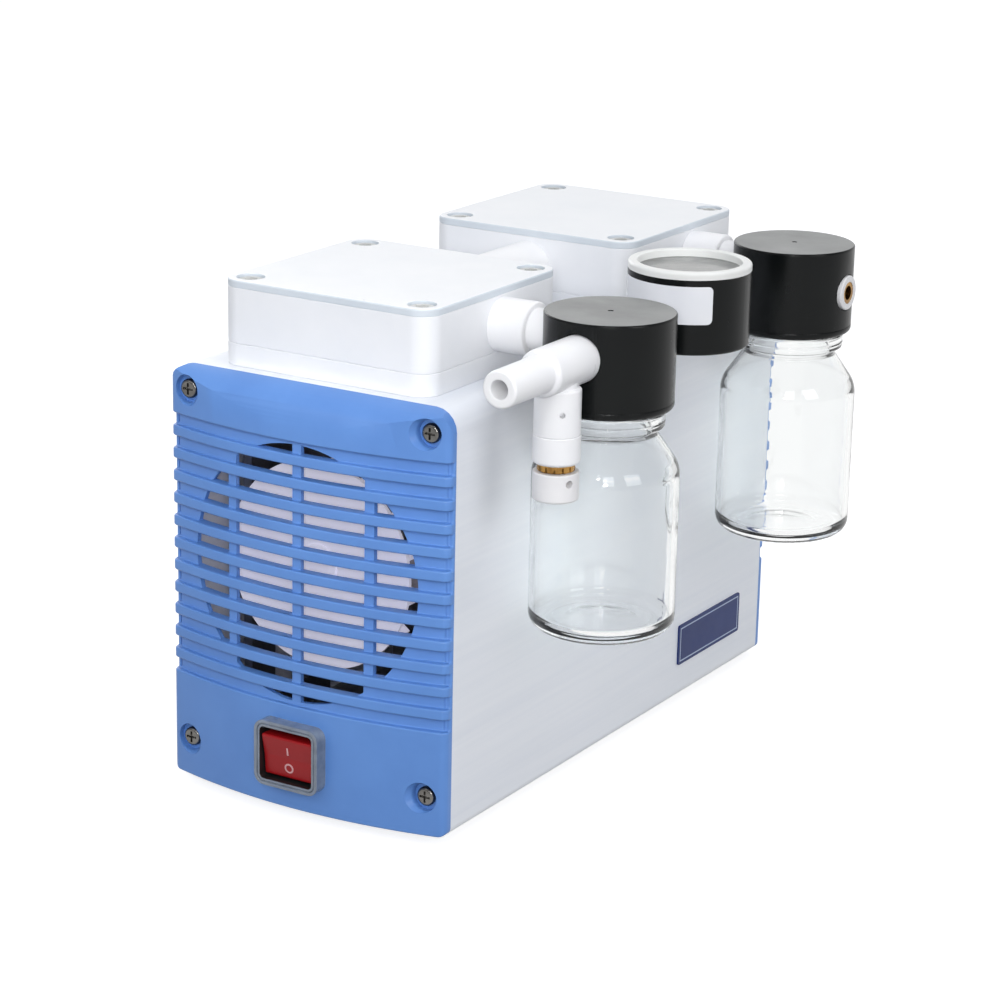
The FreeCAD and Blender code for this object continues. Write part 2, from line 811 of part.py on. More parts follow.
def make_fan():
    """Fan with a closed disc in front and straight blades behind it."""
    y1 = fan_y + fan_disc_t
    fan = tube_y(0, shaft_z, fan_y, y1, fan_r)
    fan = fan.fuse(tube_y(0, shaft_z, fan_y, y1 + fan_blade_l, fan_hub_r))
    blades = []
    for i in range(fan_blade_count):
        blade = box(-fan_blade_t / 2, fan_blade_t / 2, y1 - fan_disc_t / 2, y1 + fan_blade_l,
                    shaft_z + fan_blade_inner_r, shaft_z + fan_r - 1)
        blade.rotate(V(0, 0, shaft_z), V(0, 1, 0), i * 360 / fan_blade_count)
        blades.append(blade)
    bore = tube_y(0, shaft_z, fan_y - 1, y1 + fan_blade_l + 1, shaft_r + slip)
    return fan.fuse(blades).cut(bore).removeSplitter()


def make_eccentric(head_y, up, out):
    """Crank sleeve on the shaft with its hub and counterweight on the side away from the motor."""
    half = crank_bearing_w / 2 + side_gap
    pin_z = shaft_z + up * crank_throw
    sleeve = tube_y(0, pin_z, head_y - half, head_y + half, eccentric_r)
    y0 = head_y + out * half
    y1 = y0 + out * counterweight_t
    y2 = y0 + out * crank_hub_l
    hub = tube_y(0, shaft_z, min(y0, y2), max(y0, y2), crank_hub_r)
    weight = tube_y(0, shaft_z, min(y0, y1), max(y0, y1), counterweight_r)
    z0, z1 = sorted((shaft_z, shaft_z - up * (counterweight_r + 1)))
    weight = weight.common(box(-counterweight_r, counterweight_r, min(y0, y1), max(y0, y1), z0, z1))
    bore = tube_y(0, shaft_z, head_y - 2 * crank_hub_l - half, head_y + 2 * crank_hub_l + half,
                  shaft_r + slip)
    return sleeve.fuse([hub, weight]).cut(bore).removeSplitter()


def make_crank_bearing(head_y, up):
    pin_z = shaft_z + up * crank_throw
    y0 = head_y - crank_bearing_w / 2
    ring = tube_y(0, pin_z, y0, y0 + crank_bearing_w, crank_bearing_r)
    return ring.cut(tube_y(0, pin_z, y0 - 1, y0 + crank_bearing_w + 1, eccentric_r + slip))


def rod_seat_z(up):
    """Top of the rod's flange: clear of the diaphragm at the top of the stroke."""
    return diaphragm_z - diaphragm_t / 2 - crank_throw - clamp_gap + up * crank_throw


def make_rod(head_y, up):
    """Connecting rod: ring round the bearing, webbed shank, round flange under the diaphragm."""
    pin_z = shaft_z + up * crank_throw
    top = rod_seat_z(up)
    y0 = head_y - crank_bearing_w / 2
    y1 = head_y + crank_bearing_w / 2
    ring = tube_y(0, pin_z, y0, y1, crank_bearing_r + rod_ring_t)
    half = rod_shank_w / 2
    shank = box(-half, half, y0, y1, pin_z + crank_bearing_r + rod_ring_t / 2, top)
    web0 = head_y - rod_web_t / 2
    web1 = head_y + rod_web_t / 2
    hollow_z0 = pin_z + crank_bearing_r + rod_ring_t + rod_hollow_low
    hollow_z1 = top - clamp_t - rod_hollow_top
    hollows = [box(-half + rod_rim_w, half - rod_rim_w, y0 - 1, web0, hollow_z0, hollow_z1),
               box(-half + rod_rim_w, half - rod_rim_w, web1, y1 + 1, hollow_z0, hollow_z1)]
    flange_z = top - clamp_t - rod_flange_t
    flange = turned([(0, flange_z), (clamp_r / 2, flange_z), (clamp_r, top - clamp_t), (clamp_r, top),
                     (0, top)], 0, head_y)
    bore = tube_y(0, pin_z, y0 - 1, y1 + 1, crank_bearing_r + slip)
    return ring.fuse([shank, flange]).cut(hollows + [bore]).removeSplitter()


def make_clamp(head_y, up):
    """Stud and upper disc that hold the diaphragm's middle on the rod."""
    seat = rod_seat_z(up)
    under = seat + diaphragm_t + 2 * (crank_throw + clamp_gap)
    top = under + clamp_t
    clamp = turned([(0, seat), (clamp_stud_r, seat), (clamp_stud_r, under), (clamp_r, under, 0.6),
                    (clamp_r, top, 1.0), (0, top)], 0, head_y)
    return clamp.cut(hex_z(0, head_y, top - 1.5, top + 1, clamp_stud_r))


def make_bracket(head_y):
    """Bridge that carries a head: top plate that takes the head's screws, windowed legs, feet."""
    half = bracket_w / 2
    reach = head_screw_pitch / 2 + bracket_end_land
    y0 = head_y - bracket_l / 2
    y1 = head_y + bracket_l / 2
    under = bracket_top_z - bracket_plate_t
    outer = box(-half, half, y0, y1, base_z, bracket_top_z)
    inner = box(-half + bracket_t, half - bracket_t, y0 - 1, y1 + 1, base_z - 1, under)
    feet = [box(-half, -half + bracket_foot, y0, y1, base_z, base_z + bracket_t),
            box(half - bracket_foot, half, y0, y1, base_z, base_z + bracket_t)]
    ends = box(-reach, reach, head_y - reach, head_y + reach, under, bracket_top_z)
    window = box(-half - 1, half + 1, head_y - bracket_window_w / 2, head_y + bracket_window_w / 2,
                 base_z + bracket_window_low, under - bracket_window_top)
    holes = [tube_z(0, head_y, under - 1, bracket_top_z + 1, spigot_r + fit_gap)]
    for x, y in head_screw_places(head_y):
        holes.append(tube_z(x, y, under - 1, bracket_top_z + 1, head_screw_r + slip))
    return outer.cut([inner, window]).fuse(feet + [ends]).cut(holes).removeSplitter()


def head_plan(head_y, z0, z1):
    half = head_w / 2
    return upright_block(-half, half, head_y - half, head_y + half, z0, z1, head_corner_r)


def make_lower_housing(head_y):
    """Lower head ring with a spigot through the housing's top and a seat for the diaphragm."""
    body = head_plan(head_y, body_h, block_bottom_z)
    spigot = tube_z(0, head_y, bracket_top_z - bracket_plate_t, body_h + 1, spigot_r)
    cuts = [tube_z(0, head_y, bracket_top_z - bracket_plate_t - 1, block_bottom_z + 1, rod_opening_r),
            tube_z(0, head_y, diaphragm_z - diaphragm_t / 2, block_bottom_z + 1,
                   diaphragm_r + fit_gap)]
    for x, y in head_screw_places(head_y):
        cuts.append(tube_z(x, y, body_h - 1, block_bottom_z + 1, head_screw_r + screw_hole_gap))
    return body.fuse(spigot).cut(cuts).removeSplitter()


def make_diaphragm(head_y):
    """Rubber disc with a rolled convolution and a middle hole that clears the moving stud."""
    low = diaphragm_z - diaphragm_t / 2
    high = diaphragm_z + diaphragm_t / 2
    hole = clamp_stud_r + crank_throw + clamp_gap
    r0 = diaphragm_roll_r - diaphragm_roll_w
    r1 = diaphragm_roll_r + diaphragm_roll_w
    return turned([(hole, low), (r0 + diaphragm_t / 2, low),
                   (r0 + diaphragm_t, low + diaphragm_roll_h, 1.0),
                   (r1 - diaphragm_t, low + diaphragm_roll_h, 1.0),
                   (r1 - diaphragm_t / 2, low), (diaphragm_r, low), (diaphragm_r, high),
                   (r1 + diaphragm_t / 4, high), (r1, high + diaphragm_roll_h, 1.5),
                   (r0, high + diaphragm_roll_h, 1.5), (r0 - diaphragm_t / 4, high),
                   (hole, high)], 0, head_y)


def valve_places(head_y, inward):
    """The two valve pockets: one beside the bottle side, one beside the other head."""
    return [(valve_offset, head_y), (0, head_y + inward * valve_offset)]


def make_head_block(head_y, inward, side_y):
    """Head block: chamber below, two valve pockets above, ducts out to the side and inward."""
    half = head_w / 2
    block = head_plan(head_y, block_bottom_z, block_top_z)
    cuts = [tube_z(0, head_y, block_bottom_z - 1, diaphragm_z + diaphragm_t / 2,
                   diaphragm_r + fit_gap),
            turned([(0, block_bottom_z - 1), (chamber_r, block_bottom_z - 1),
                    (chamber_r, chamber_top_z, chamber_edge_r), (0, chamber_top_z)], 0, head_y)]
    for x, y in valve_places(head_y, inward):
        cuts.append(tube_z(x, y, pocket_floor_z, block_top_z + 1, valve_pocket_r))
        cuts.append(tube_z(x, y, chamber_top_z - 1, block_top_z, valve_stem_r + slip))
        for i in range(valve_hole_count):
            a = 2 * math.pi * i / valve_hole_count
            cuts.append(tube_z(x + valve_hole_ring_r * math.cos(a), y + valve_hole_ring_r * math.sin(a),
                               chamber_top_z - 1, block_top_z, valve_hole_r))
    duct_z = block_top_z - duct_depth
    cuts.append(tube_x(side_y, port_z, half - spigot_l, half + 1, port_r + spigot_wall + slip))
    cuts.append(tube_x(side_y, port_z, riser_offset, half, port_r))
    cuts.append(tube_z(riser_offset, side_y, port_z, block_top_z + 1, riser_r))
    cuts.append(box(valve_offset, riser_offset, side_y - duct_w / 2, side_y + duct_w / 2,
                    duct_z, block_top_z + 1))
    face_y = head_y + inward * half
    end_y = face_y - inward * spigot_l
    riser_y = head_y + inward * riser_offset
    cuts.append(tube_y(0, transfer_z, min(end_y, face_y + inward), max(end_y, face_y + inward),
                       port_r + spigot_wall + slip))
    cuts.append(tube_y(0, transfer_z, min(riser_y, face_y), max(riser_y, face_y), port_r))
    cuts.append(tube_z(0, riser_y, transfer_z, block_top_z + 1, riser_r))
    pocket_y = head_y + inward * valve_offset
    cuts.append(box(-duct_w / 2, duct_w / 2, min(pocket_y, riser_y), max(pocket_y, riser_y),
                    duct_z, block_top_z + 1))
    head_seat = lid_top_z - head_screw_sunk - head_screw_head_h
    for x, y in head_screw_places(head_y):
        cuts.append(tube_z(x, y, block_bottom_z - 1, block_top_z + 1, head_screw_r + screw_hole_gap))
        cuts.append(tube_z(x, y, head_seat, block_top_z + 1, head_recess_r))
    return block.cut(cuts).removeSplitter()


def make_valve_flaps(head_y, inward):
    """Rubber flaps with a button stem, lying on their pocket floors."""
    flaps = []
    for x, y in valve_places(head_y, inward):
        flaps.append(turned([(0, chamber_top_z), (valve_stem_r, chamber_top_z),
                             (valve_stem_r, pocket_floor_z), (valve_r, pocket_floor_z),
                             (valve_r, pocket_floor_z + valve_t), (0, pocket_floor_z + valve_t)], x, y))
    return flaps


def make_lid(head_y):
    lid = head_plan(head_y, block_top_z, lid_top_z)
    rim = edges_where(lid, lambda b: b.ZMin > lid_top_z - 0.01)
    lid = lid.makeChamfer(lid_chamfer, rim)
    return lid.cut([tube_z(x, y, block_top_z - 1, lid_top_z + 1, head_recess_r)
                    for x, y in head_screw_places(head_y)])


def make_lid_screws(head_y):
    """Socket head screws that hold lid, block and lower housing down on the bracket."""
    top = lid_top_z - head_screw_sunk
    seat = top - head_screw_head_h
    screws = []
    for x, y in head_screw_places(head_y):
        screw = turned([(0, seat - head_screw_length), (head_screw_r, seat - head_screw_length, 0.6),
                        (head_screw_r, seat), (head_screw_head_r, seat),
                        (head_screw_head_r, top, 0.6), (0, top)], x, y)
        screws.append(screw.cut(hex_z(x, y, top - head_screw_socket_depth, top + 1, head_screw_socket_af)))
    return screws


def make_transfer_tube():
    """Tube between the two heads, with a spigot in each."""
    y0 = head_front_y + head_w / 2
    y1 = head_rear_y - head_w / 2
    tube = tube_y(0, transfer_z, y0, y1, transfer_r)
    spigot = tube_y(0, transfer_z, y0 - spigot_l + slip, y1 + spigot_l - slip, port_r + spigot_wall)
    bore = tube_y(0, transfer_z, y0 - spigot_l - 1, y1 + spigot_l + 1, port_r)
    return tube.fuse(spigot).cut(bore).removeSplitter()


def make_side_connector(side_y):
    """Boss and neck from a head to a bottle head, with a spigot in each."""
    x0 = head_w / 2
    x1 = x0 + port_boss_l
    x2 = x1 + port_neck_l
    boss = tube_x(side_y, port_z, x0, x1, port_boss_r)
    boss = boss.makeFillet(port_edge_r, edges_where(boss, lambda b: b.XMin > x1 - 0.01))
    neck = tube_x(side_y, port_z, x1, x2, port_neck_r)
    spigot = tube_x(side_y, port_z, x0 - spigot_l + slip, x2 + spigot_l - slip, port_r + spigot_wall)
    bore = tube_x(side_y, port_z, x0 - spigot_l - 1, x2 + spigot_l + 1, port_r)
    return boss.fuse([neck, spigot]).cut(bore).removeSplitter()


def make_cap(y, ports):
    """Bottle head, open below for the neck and drilled for ports of (azimuth, z, face_r, spigot)."""
    neck_top = bottle_top_z + gasket_gap + gasket_t
    cap = turned([(0, cap_bottom_z), (cap_r, cap_bottom_z, cap_foot_r), (cap_r, cap_top_z, cap_top_r),
                  (0, cap_top_z)], bottle_x, y)
    cuts = [tube_z(bottle_x, y, cap_bottom_z - 1, neck_top, neck_r + neck_clearance)]
    for azimuth, z, face_r, spigot in ports:
        way = outward(azimuth)
        flat = cap_r - flat_depth(cap_r, face_r + cap_land)
        place = V(bottle_x, y, z)
        cuts.append(Part.makeCylinder(face_r + cap_land, cap_r, place + way * flat, way))
        cuts.append(Part.makeCylinder(spigot + slip, spigot_l, place + way * (flat - spigot_l), way))
        drop = place + way * cap_drop_inset
        cuts.append(Part.makeCylinder(cap_bore_r, flat - spigot_l - cap_drop_inset, drop, way))
        cuts.append(tube_z(drop.x, drop.y, neck_top - 1, z, cap_bore_r))
    return cap.cut(cuts).removeSplitter()


def make_gasket(y):
    z0 = bottle_top_z + gasket_gap
    ring = tube_z(bottle_x, y, z0, z0 + gasket_t, neck_r)
    return ring.cut(tube_z(bottle_x, y, z0 - 1, z0 + gasket_t + 1, neck_r - gasket_w))


def make_bottle(y):
    """Glass bottle: heavy heel, domed bottom, sloping shoulder, narrow waist, bead under the cap."""
    bead_top = cap_bottom_z - bead_gap
    bead_bottom = bead_top - bead_h
    waist_z = bead_bottom - waist_h
    shoulder_z = waist_z - shoulder_h
    waist_r = neck_r - waist_inset
    mouth_r = neck_r - neck_wall
    inner_r = bottle_r - bottle_wall
    floor_z = bottle_bottom_z + bottle_base
    rise = waist_edge_r - waist_h / 2
    outer = [(0, bottle_bottom_z + bottle_punt_h),
             (bottle_r - bottle_punt_w, bottle_bottom_z, bottle_punt_edge_r),
             (bottle_r, bottle_bottom_z, bottle_heel_r), (bottle_r, shoulder_z, shoulder_r),
             (waist_r, waist_z, waist_edge_r), (waist_r, bead_bottom, waist_edge_r / 2),
             (bead_r, bead_bottom, bead_edge_r), (bead_r, bead_top, bead_edge_r),
             (neck_r, bead_top), (neck_r, bottle_top_z, bead_edge_r)]
    inner = [(mouth_r, bottle_top_z, bead_edge_r), (mouth_r, waist_z + rise, waist_edge_r),
             (inner_r, shoulder_z + rise, shoulder_r - bottle_wall),
             (inner_r, floor_z, bottle_heel_r - bead_edge_r),
             (inner_r - bottle_punt_w, floor_z, bottle_punt_edge_r),
             (0, floor_z + bottle_punt_h)]
    return turned(outer + inner, bottle_x, y)


def make_tee():
    """Inlet tee: body and hose nozzle along Y, branch down to the regulator."""
    body = tube_y(bottle_x, tee_z, tee_end_y, tee_face_y, tee_r)
    body = body.makeFillet(tee_edge_r, edges_where(body, lambda b: b.YMax < tee_end_y + 0.01))
    nozzle = tube_y(bottle_x, tee_z, nozzle_tip_y, tee_end_y + tee_r / 2, nozzle_r)
    nozzle = nozzle.makeFillet(nozzle_edge_r, edges_where(nozzle, lambda b: b.YMax < nozzle_tip_y + 0.01))
    spigot = tube_y(bottle_x, tee_z, tee_face_y - 1, tee_face_y + spigot_l - slip, port_r + spigot_wall)
    branch = tube_z(bottle_x, branch_y, branch_split_z, tee_z, branch_r)
    bleed = Part.makeCylinder(branch_hole_r, 2 * branch_r, V(bottle_x, branch_y, branch_hole_z),
                              outward(branch_hole_azimuth))
    bore = tube_y(bottle_x, tee_z, nozzle_tip_y - 1, tee_face_y + spigot_l + 1, nozzle_bore_r)
    drop = tube_z(bottle_x, branch_y, branch_split_z - 1, tee_z, nozzle_bore_r)
    return body.fuse([nozzle, spigot, branch]).cut([bore, drop, bleed]).removeSplitter()


def make_regulator_ring():
    """White sleeve under the branch, open for the brass seat."""
    return turned([(nozzle_bore_r, ring_bottom_z), (regulator_ring_r, ring_bottom_z, regulator_ring_edge_r),
                   (regulator_ring_r, branch_split_z, regulator_seam_r), (nozzle_bore_r, branch_split_z)],
                  bottle_x, branch_y)


def make_regulator_thread():
    """Brass seat: a flange under the sleeve and a stem down into the knob."""
    flange_z = ring_bottom_z - thread_flange_h
    stem_z = knob_top_z - thread_core_l
    return turned([(thread_bore_r, stem_z), (thread_core_r, stem_z, regulator_seam_r),
                   (thread_core_r, flange_z), (thread_flange_r, flange_z, regulator_seam_r),
                   (thread_flange_r, ring_bottom_z),
                   (thread_bore_r, ring_bottom_z)], bottle_x, branch_y)


def make_regulator_knob():
    """Knob that turns on the brass stem, with a bleed hole in its side."""
    bottom = knob_top_z - knob_h
    knob = turned([(0, bottom), (knob_r, bottom, knob_chamfer), (knob_r, knob_top_z, knob_top_edge_r),
                   (thread_core_r + slip, knob_top_z),
                   (thread_core_r + slip, knob_top_z - thread_core_l - knob_gap),
                   (0, knob_top_z - thread_core_l - knob_gap)], bottle_x, branch_y)
    hole = Part.makeCylinder(knob_hole_r, 2 * knob_r, V(bottle_x, branch_y, knob_top_z - knob_hole_drop),
                             outward(knob_hole_azimuth))
    return knob.cut(hole)


def gauge_levels():
    """Heights in the gauge: floor of its well, ledge under the glass, top of its body."""
    body_top = gauge_bottom_z + gauge_h
    ledge = body_top - lens_t
    return body_top - gauge_recess, ledge, body_top


def make_gauge_body():
    floor, ledge, top = gauge_levels()
    inner_r = gauge_r - gauge_wall
    body = turned([(0, gauge_bottom_z), (gauge_r, gauge_bottom_z, gauge_edge_r), (gauge_r, top),
                   (inner_r + gauge_rim_step, top), (inner_r + gauge_rim_step, ledge),
                   (inner_r, ledge), (inner_r, floor), (pointer_r + slip, floor),
                   (pointer_r + slip, floor - pointer_bearing_l), (0, floor - pointer_bearing_l)],
                  bottle_x, gauge_y)
    flat_y = gauge_y - gauge_r + flat_depth(gauge_r, stem_hex_af / 2 + cap_land)
    flat = tube_y(bottle_x, tee_z, gauge_y - gauge_r - 1, flat_y, stem_hex_af / math.sqrt(3) + cap_land)
    socket = tube_y(bottle_x, tee_z, flat_y - 1, flat_y + spigot_l, stem_r + slip)
    return body.cut([flat, socket])


def make_gauge_bezel():
    top = gauge_levels()[2]
    return turned([(gauge_r - gauge_bezel_w, top), (gauge_r, top),
                   (gauge_r, top + gauge_bezel_h, gauge_edge_r),
                   (gauge_r - gauge_bezel_w, top + gauge_bezel_h, 0.6)], bottle_x, gauge_y)


def make_gauge_dial():
    floor = gauge_levels()[0]
    inner_r = gauge_r - gauge_wall
    hole = pointer_r + knob_gap
    dial = tube_z(bottle_x, gauge_y, floor, floor + dial_t, inner_r - dial_gap)
    return dial.cut(tube_z(bottle_x, gauge_y, floor - 1, floor + dial_t + 1, hole))


def make_gauge_lens():
    ledge = gauge_levels()[1]
    return tube_z(bottle_x, gauge_y, ledge, ledge + lens_t,
                  gauge_r - gauge_wall + gauge_rim_step - dial_gap)


def make_gauge_pointer():
    """Needle on a spindle that turns in the gauge body."""
    floor = gauge_levels()[0]
    z0 = floor + pointer_lift
    spindle = tube_z(bottle_x, gauge_y, floor - pointer_bearing_l + knob_gap, z0, pointer_r)
    hub = tube_z(bottle_x, gauge_y, z0, z0 + pointer_t * 1.5, pointer_hub_r)
    half = pointer_base_w / 2
    tip = pointer_tip_w / 2
    needle = prism([(V(bottle_x - half, gauge_y + pointer_tail, z0), 0),
                    (V(bottle_x + half, gauge_y + pointer_tail, z0), 0),
                    (V(bottle_x + tip, gauge_y - pointer_l, z0), 0),
                    (V(bottle_x - tip, gauge_y - pointer_l, z0), 0)], V(0, 0, pointer_t))
    pointer = spindle.fuse([hub, needle]).removeSplitter()
    pointer.rotate(V(bottle_x, gauge_y, 0), V(0, 0, 1), pointer_rest)
    return pointer


def make_gauge_stem():
    """Nipple from the first bottle head to the gauge, with a hexagon in the middle."""
    y0 = inlet_cap_y + cap_r - flat_depth(cap_r, stem_hex_af / 2 + cap_land)
    y1 = gauge_y - gauge_r + flat_depth(gauge_r, stem_hex_af / 2 + cap_land)
    stem = tube_y(bottle_x, tee_z, y0 - spigot_l + slip, y1 + spigot_l - slip, stem_r)
    middle = (y0 + y1) / 2
    hexagon = hex_y(bottle_x, tee_z, middle - stem_hex_l / 2, middle + stem_hex_l / 2, stem_hex_af)
    collar = tube_y(bottle_x, tee_z, y0, y1, stem_hex_af / 2)
    bore = tube_y(bottle_x, tee_z, y0 - spigot_l - 1, y1 + spigot_l + 1, cap_bore_r / 2)
    return stem.fuse([hexagon, collar]).cut(bore).removeSplitter()


def make_exhaust_nut():
    """Ring nut on a flat of the second bottle head."""
    x0 = exhaust_flat_x()
    nut = tube_x(outlet_cap_y, exhaust_z, x0, x0 + exhaust_nut_t, exhaust_nut_r)
    nut = nut.makeFillet(exhaust_nut_edge_r, edges_where(nut, lambda b: b.XMin > x0 + exhaust_nut_t - 0.01))
    return nut.cut(tube_x(outlet_cap_y, exhaust_z, x0 - 1, x0 + exhaust_nut_t + 1,
                          exhaust_sleeve_r + slip))


def make_exhaust_sleeve():
    """Brass sleeve in the second bottle head, open outwards."""
    x0 = exhaust_flat_x() - spigot_l + slip
    x1 = exhaust_flat_x() + exhaust_nut_t - exhaust_sleeve_sunk
    sleeve = tube_x(outlet_cap_y, exhaust_z, x0, x1, exhaust_sleeve_r)
    return sleeve.cut(tube_x(outlet_cap_y, exhaust_z, x0 - 1, x1 + 1, exhaust_bore_r))


def exhaust_flat_x():
    return bottle_x + cap_r - flat_depth(cap_r, exhaust_nut_r + cap_land)


def make_nameplate():
    """Plain plate on the housing's side."""
    x = body_w / 2
    y0 = nameplate_y
    y1 = nameplate_y + nameplate_l
    z0 = nameplate_z
    z1 = nameplate_z + nameplate_h
    corners = [(V(x, y0, z0), nameplate_corner_r), (V(x, y1, z0), nameplate_corner_r),
               (V(x, y1, z1), nameplate_corner_r), (V(x, y0, z1), nameplate_corner_r)]
    return prism(corners, V(nameplate_t, 0, 0))


def main():
    os.makedirs("parts", exist_ok=True)

    save("enclosure", make_enclosure())
    save("base_plate", make_base_plate())
    save("rubber_feet", *make_feet())
    save("nameplate", make_nameplate())

    window_w = switch_body_w + 2 * window_gap
    window_h = switch_body_h + 2 * window_gap
    save("front_cover", make_cover(window_w, window_h))
    save("switch_bezel", make_bezel())
    save("switch_rocker", make_rocker())
    inlet_w = inlet_socket_w + 2 * inlet_wall + 2 * window_gap
    inlet_h = inlet_socket_h + 2 * inlet_wall + 2 * window_gap
    save("rear_cover", turned_round(make_cover(inlet_w, inlet_h)))
    inlet, pins = make_mains_inlet()
    save("mains_inlet", inlet)
    save("inlet_pins", *pins)
    screws = [cover_screw(x, z) for x, z in cover_screw_places()]
    save("cover_screws", *(screws + [turned_round(screw) for screw in screws]))

    save("motor_stator", make_stator())
    save("motor_windings", *make_windings())
    save("motor_end_shields", *make_shields())
    save("motor_bearings", *make_motor_bearings())
    save("motor_cradle", make_cradle())
    save("run_capacitor", make_capacitor())
    save("motor_shaft", make_shaft())
    save("motor_rotor", make_rotor())
    save("cooling_fan", make_fan())

    valve_flaps = []
    lid_screws = []
    for end, head_y, up, out in (("front", head_front_y, 1, -1), ("rear", head_rear_y, -1, 1)):
        inward = -out
        side_y = inlet_cap_y if end == "front" else outlet_cap_y
        save("eccentric_" + end, make_eccentric(head_y, up, out))
        save("crank_bearing_" + end, make_crank_bearing(head_y, up))
        save("connecting_rod_" + end, make_rod(head_y, up))
        save("diaphragm_clamp_" + end, make_clamp(head_y, up))
        save("head_bracket_" + end, make_bracket(head_y))
        save("lower_housing_" + end, make_lower_housing(head_y))
        save("diaphragm_" + end, make_diaphragm(head_y))
        save("head_block_" + end, make_head_block(head_y, inward, side_y))
        valve_flaps += make_valve_flaps(head_y, inward)
        save("lid_plate_" + end, make_lid(head_y))
        lid_screws += make_lid_screws(head_y)
        save("side_connector_" + end, make_side_connector(side_y))
    save("valve_flaps", *valve_flaps)
    save("lid_screws", *lid_screws)
    save("transfer_tube", make_transfer_tube())

    side_port = (-90, port_z, port_neck_r, port_r + spigot_wall)
    tee_port = (0, tee_z, tee_r, port_r + spigot_wall)
    stem_port = (180, tee_z, stem_hex_af / 2, stem_r)
    exhaust_port = (90, exhaust_z, exhaust_nut_r, exhaust_sleeve_r)
    save("inlet_bottle_head", make_cap(inlet_cap_y, [side_port, tee_port, stem_port]))
    save("outlet_bottle_head", make_cap(outlet_cap_y, [side_port, exhaust_port]))
    save("bottle_gaskets", make_gasket(inlet_cap_y), make_gasket(outlet_cap_y))
    save("inlet_bottle", make_bottle(inlet_cap_y))
    save("outlet_bottle", make_bottle(outlet_cap_y))

    save("inlet_tee", make_tee())
    save("regulator_sleeve", make_regulator_ring())
    save("regulator_seat", make_regulator_thread())
    save("regulator_knob", make_regulator_knob())

    save("gauge_stem", make_gauge_stem())
    save("gauge_body", make_gauge_body())
    save("gauge_bezel", make_gauge_bezel())
    save("gauge_dial", make_gauge_dial())
    save("gauge_pointer", make_gauge_pointer())
    save("gauge_lens", make_gauge_lens())

    save("exhaust_nut", make_exhaust_nut())
    save("exhaust_sleeve", make_exhaust_sleeve())

    print("origin from the housing's middle:", origin)


main()
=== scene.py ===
"""Diaphragm vacuum pump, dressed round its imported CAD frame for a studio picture.

Lengths in the piece functions are millimetres; mm turns them into Blender's metres. A piece that
stands for a CAD node sits where the node does, and rides on the same body.
"""
import json
import math

import bmesh
import bpy
from mathutils import Matrix, Vector


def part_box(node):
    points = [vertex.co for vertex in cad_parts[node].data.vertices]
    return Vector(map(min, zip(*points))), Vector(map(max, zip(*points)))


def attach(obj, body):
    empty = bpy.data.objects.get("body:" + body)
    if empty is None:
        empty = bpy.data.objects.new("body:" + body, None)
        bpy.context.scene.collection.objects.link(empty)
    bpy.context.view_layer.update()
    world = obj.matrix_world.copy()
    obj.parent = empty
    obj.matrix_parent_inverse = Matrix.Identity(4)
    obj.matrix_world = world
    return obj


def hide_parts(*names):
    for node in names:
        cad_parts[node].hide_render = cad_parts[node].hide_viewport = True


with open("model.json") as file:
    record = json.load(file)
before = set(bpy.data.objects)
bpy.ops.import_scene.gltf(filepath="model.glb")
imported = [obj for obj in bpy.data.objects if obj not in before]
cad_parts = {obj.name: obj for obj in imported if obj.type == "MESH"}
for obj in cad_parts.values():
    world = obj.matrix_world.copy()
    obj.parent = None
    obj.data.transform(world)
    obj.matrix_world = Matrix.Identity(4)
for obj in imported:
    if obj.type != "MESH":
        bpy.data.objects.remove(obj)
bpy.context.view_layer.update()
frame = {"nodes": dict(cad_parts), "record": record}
nodes = frame["nodes"]
mm = 0.001

body_of = {}
for body, members in frame["record"]["behaviour"]["bodies"].items():
    for member in members:
        body_of[member] = body


# Camera and studio

camera_azimuth = math.radians(31.166)
camera_elevation = math.radians(16.806)
camera_roll = math.radians(1.219)
camera_distance = 1.2175
camera_target = Vector((-0.00647, -0.02646, 0.1074))
camera_lens = 106.76


def set_camera():
    """Camera from its azimuth, elevation and roll round the point it looks at."""
    level = math.cos(camera_elevation)
    back = Vector((math.sin(camera_azimuth) * level, -math.cos(camera_azimuth) * level,
                   math.sin(camera_elevation)))
    right = Vector((math.cos(camera_azimuth), math.sin(camera_azimuth), 0))
    up = back.cross(right)
    side = right * math.cos(camera_roll) + up * math.sin(camera_roll)
    top = up * math.cos(camera_roll) - right * math.sin(camera_roll)
    bpy.ops.object.camera_add()
    camera = bpy.context.object
    turn = Matrix((side, top, back)).transposed().to_4x4()
    camera.matrix_world = Matrix.Translation(camera_target + back * camera_distance) @ turn
    camera.data.lens = camera_lens
    camera.data.sensor_width = 36
    camera.data.clip_start = 0.05
    bpy.context.scene.camera = camera


def aimed_lamp(kind, place, target, power):
    """Settings of a new lamp at a place, turned to face a point."""
    bpy.ops.object.light_add(type=kind, location=place)
    lamp = bpy.context.object
    lamp.rotation_euler = (Vector(target) - Vector(place)).to_track_quat("-Z", "Y").to_euler()
    lamp.data.energy = power
    return lamp.data


def soft_box(place, target, size, power):
    """Square area lamp."""
    lamp = aimed_lamp("AREA", place, target, power)
    lamp.shape = "RECTANGLE"
    lamp.size = size
    lamp.size_y = size


def spot(place, target, cone, power):
    """Soft-edged spot lamp; cone in degrees."""
    lamp = aimed_lamp("SPOT", place, target, power)
    lamp.spot_size = math.radians(cone)
    lamp.spot_blend = 1.0
    lamp.shadow_soft_size = 0.08


# Shader values and finishes

def srgb(red, green, blue):
    """Linear colour of an 8-bit screen colour."""
    channels = []
    for value in (red, green, blue):
        v = value / 255
        channels.append(v / 12.92 if v <= 0.04045 else ((v + 0.055) / 1.055) ** 2.4)
    return (*channels, 1.0)


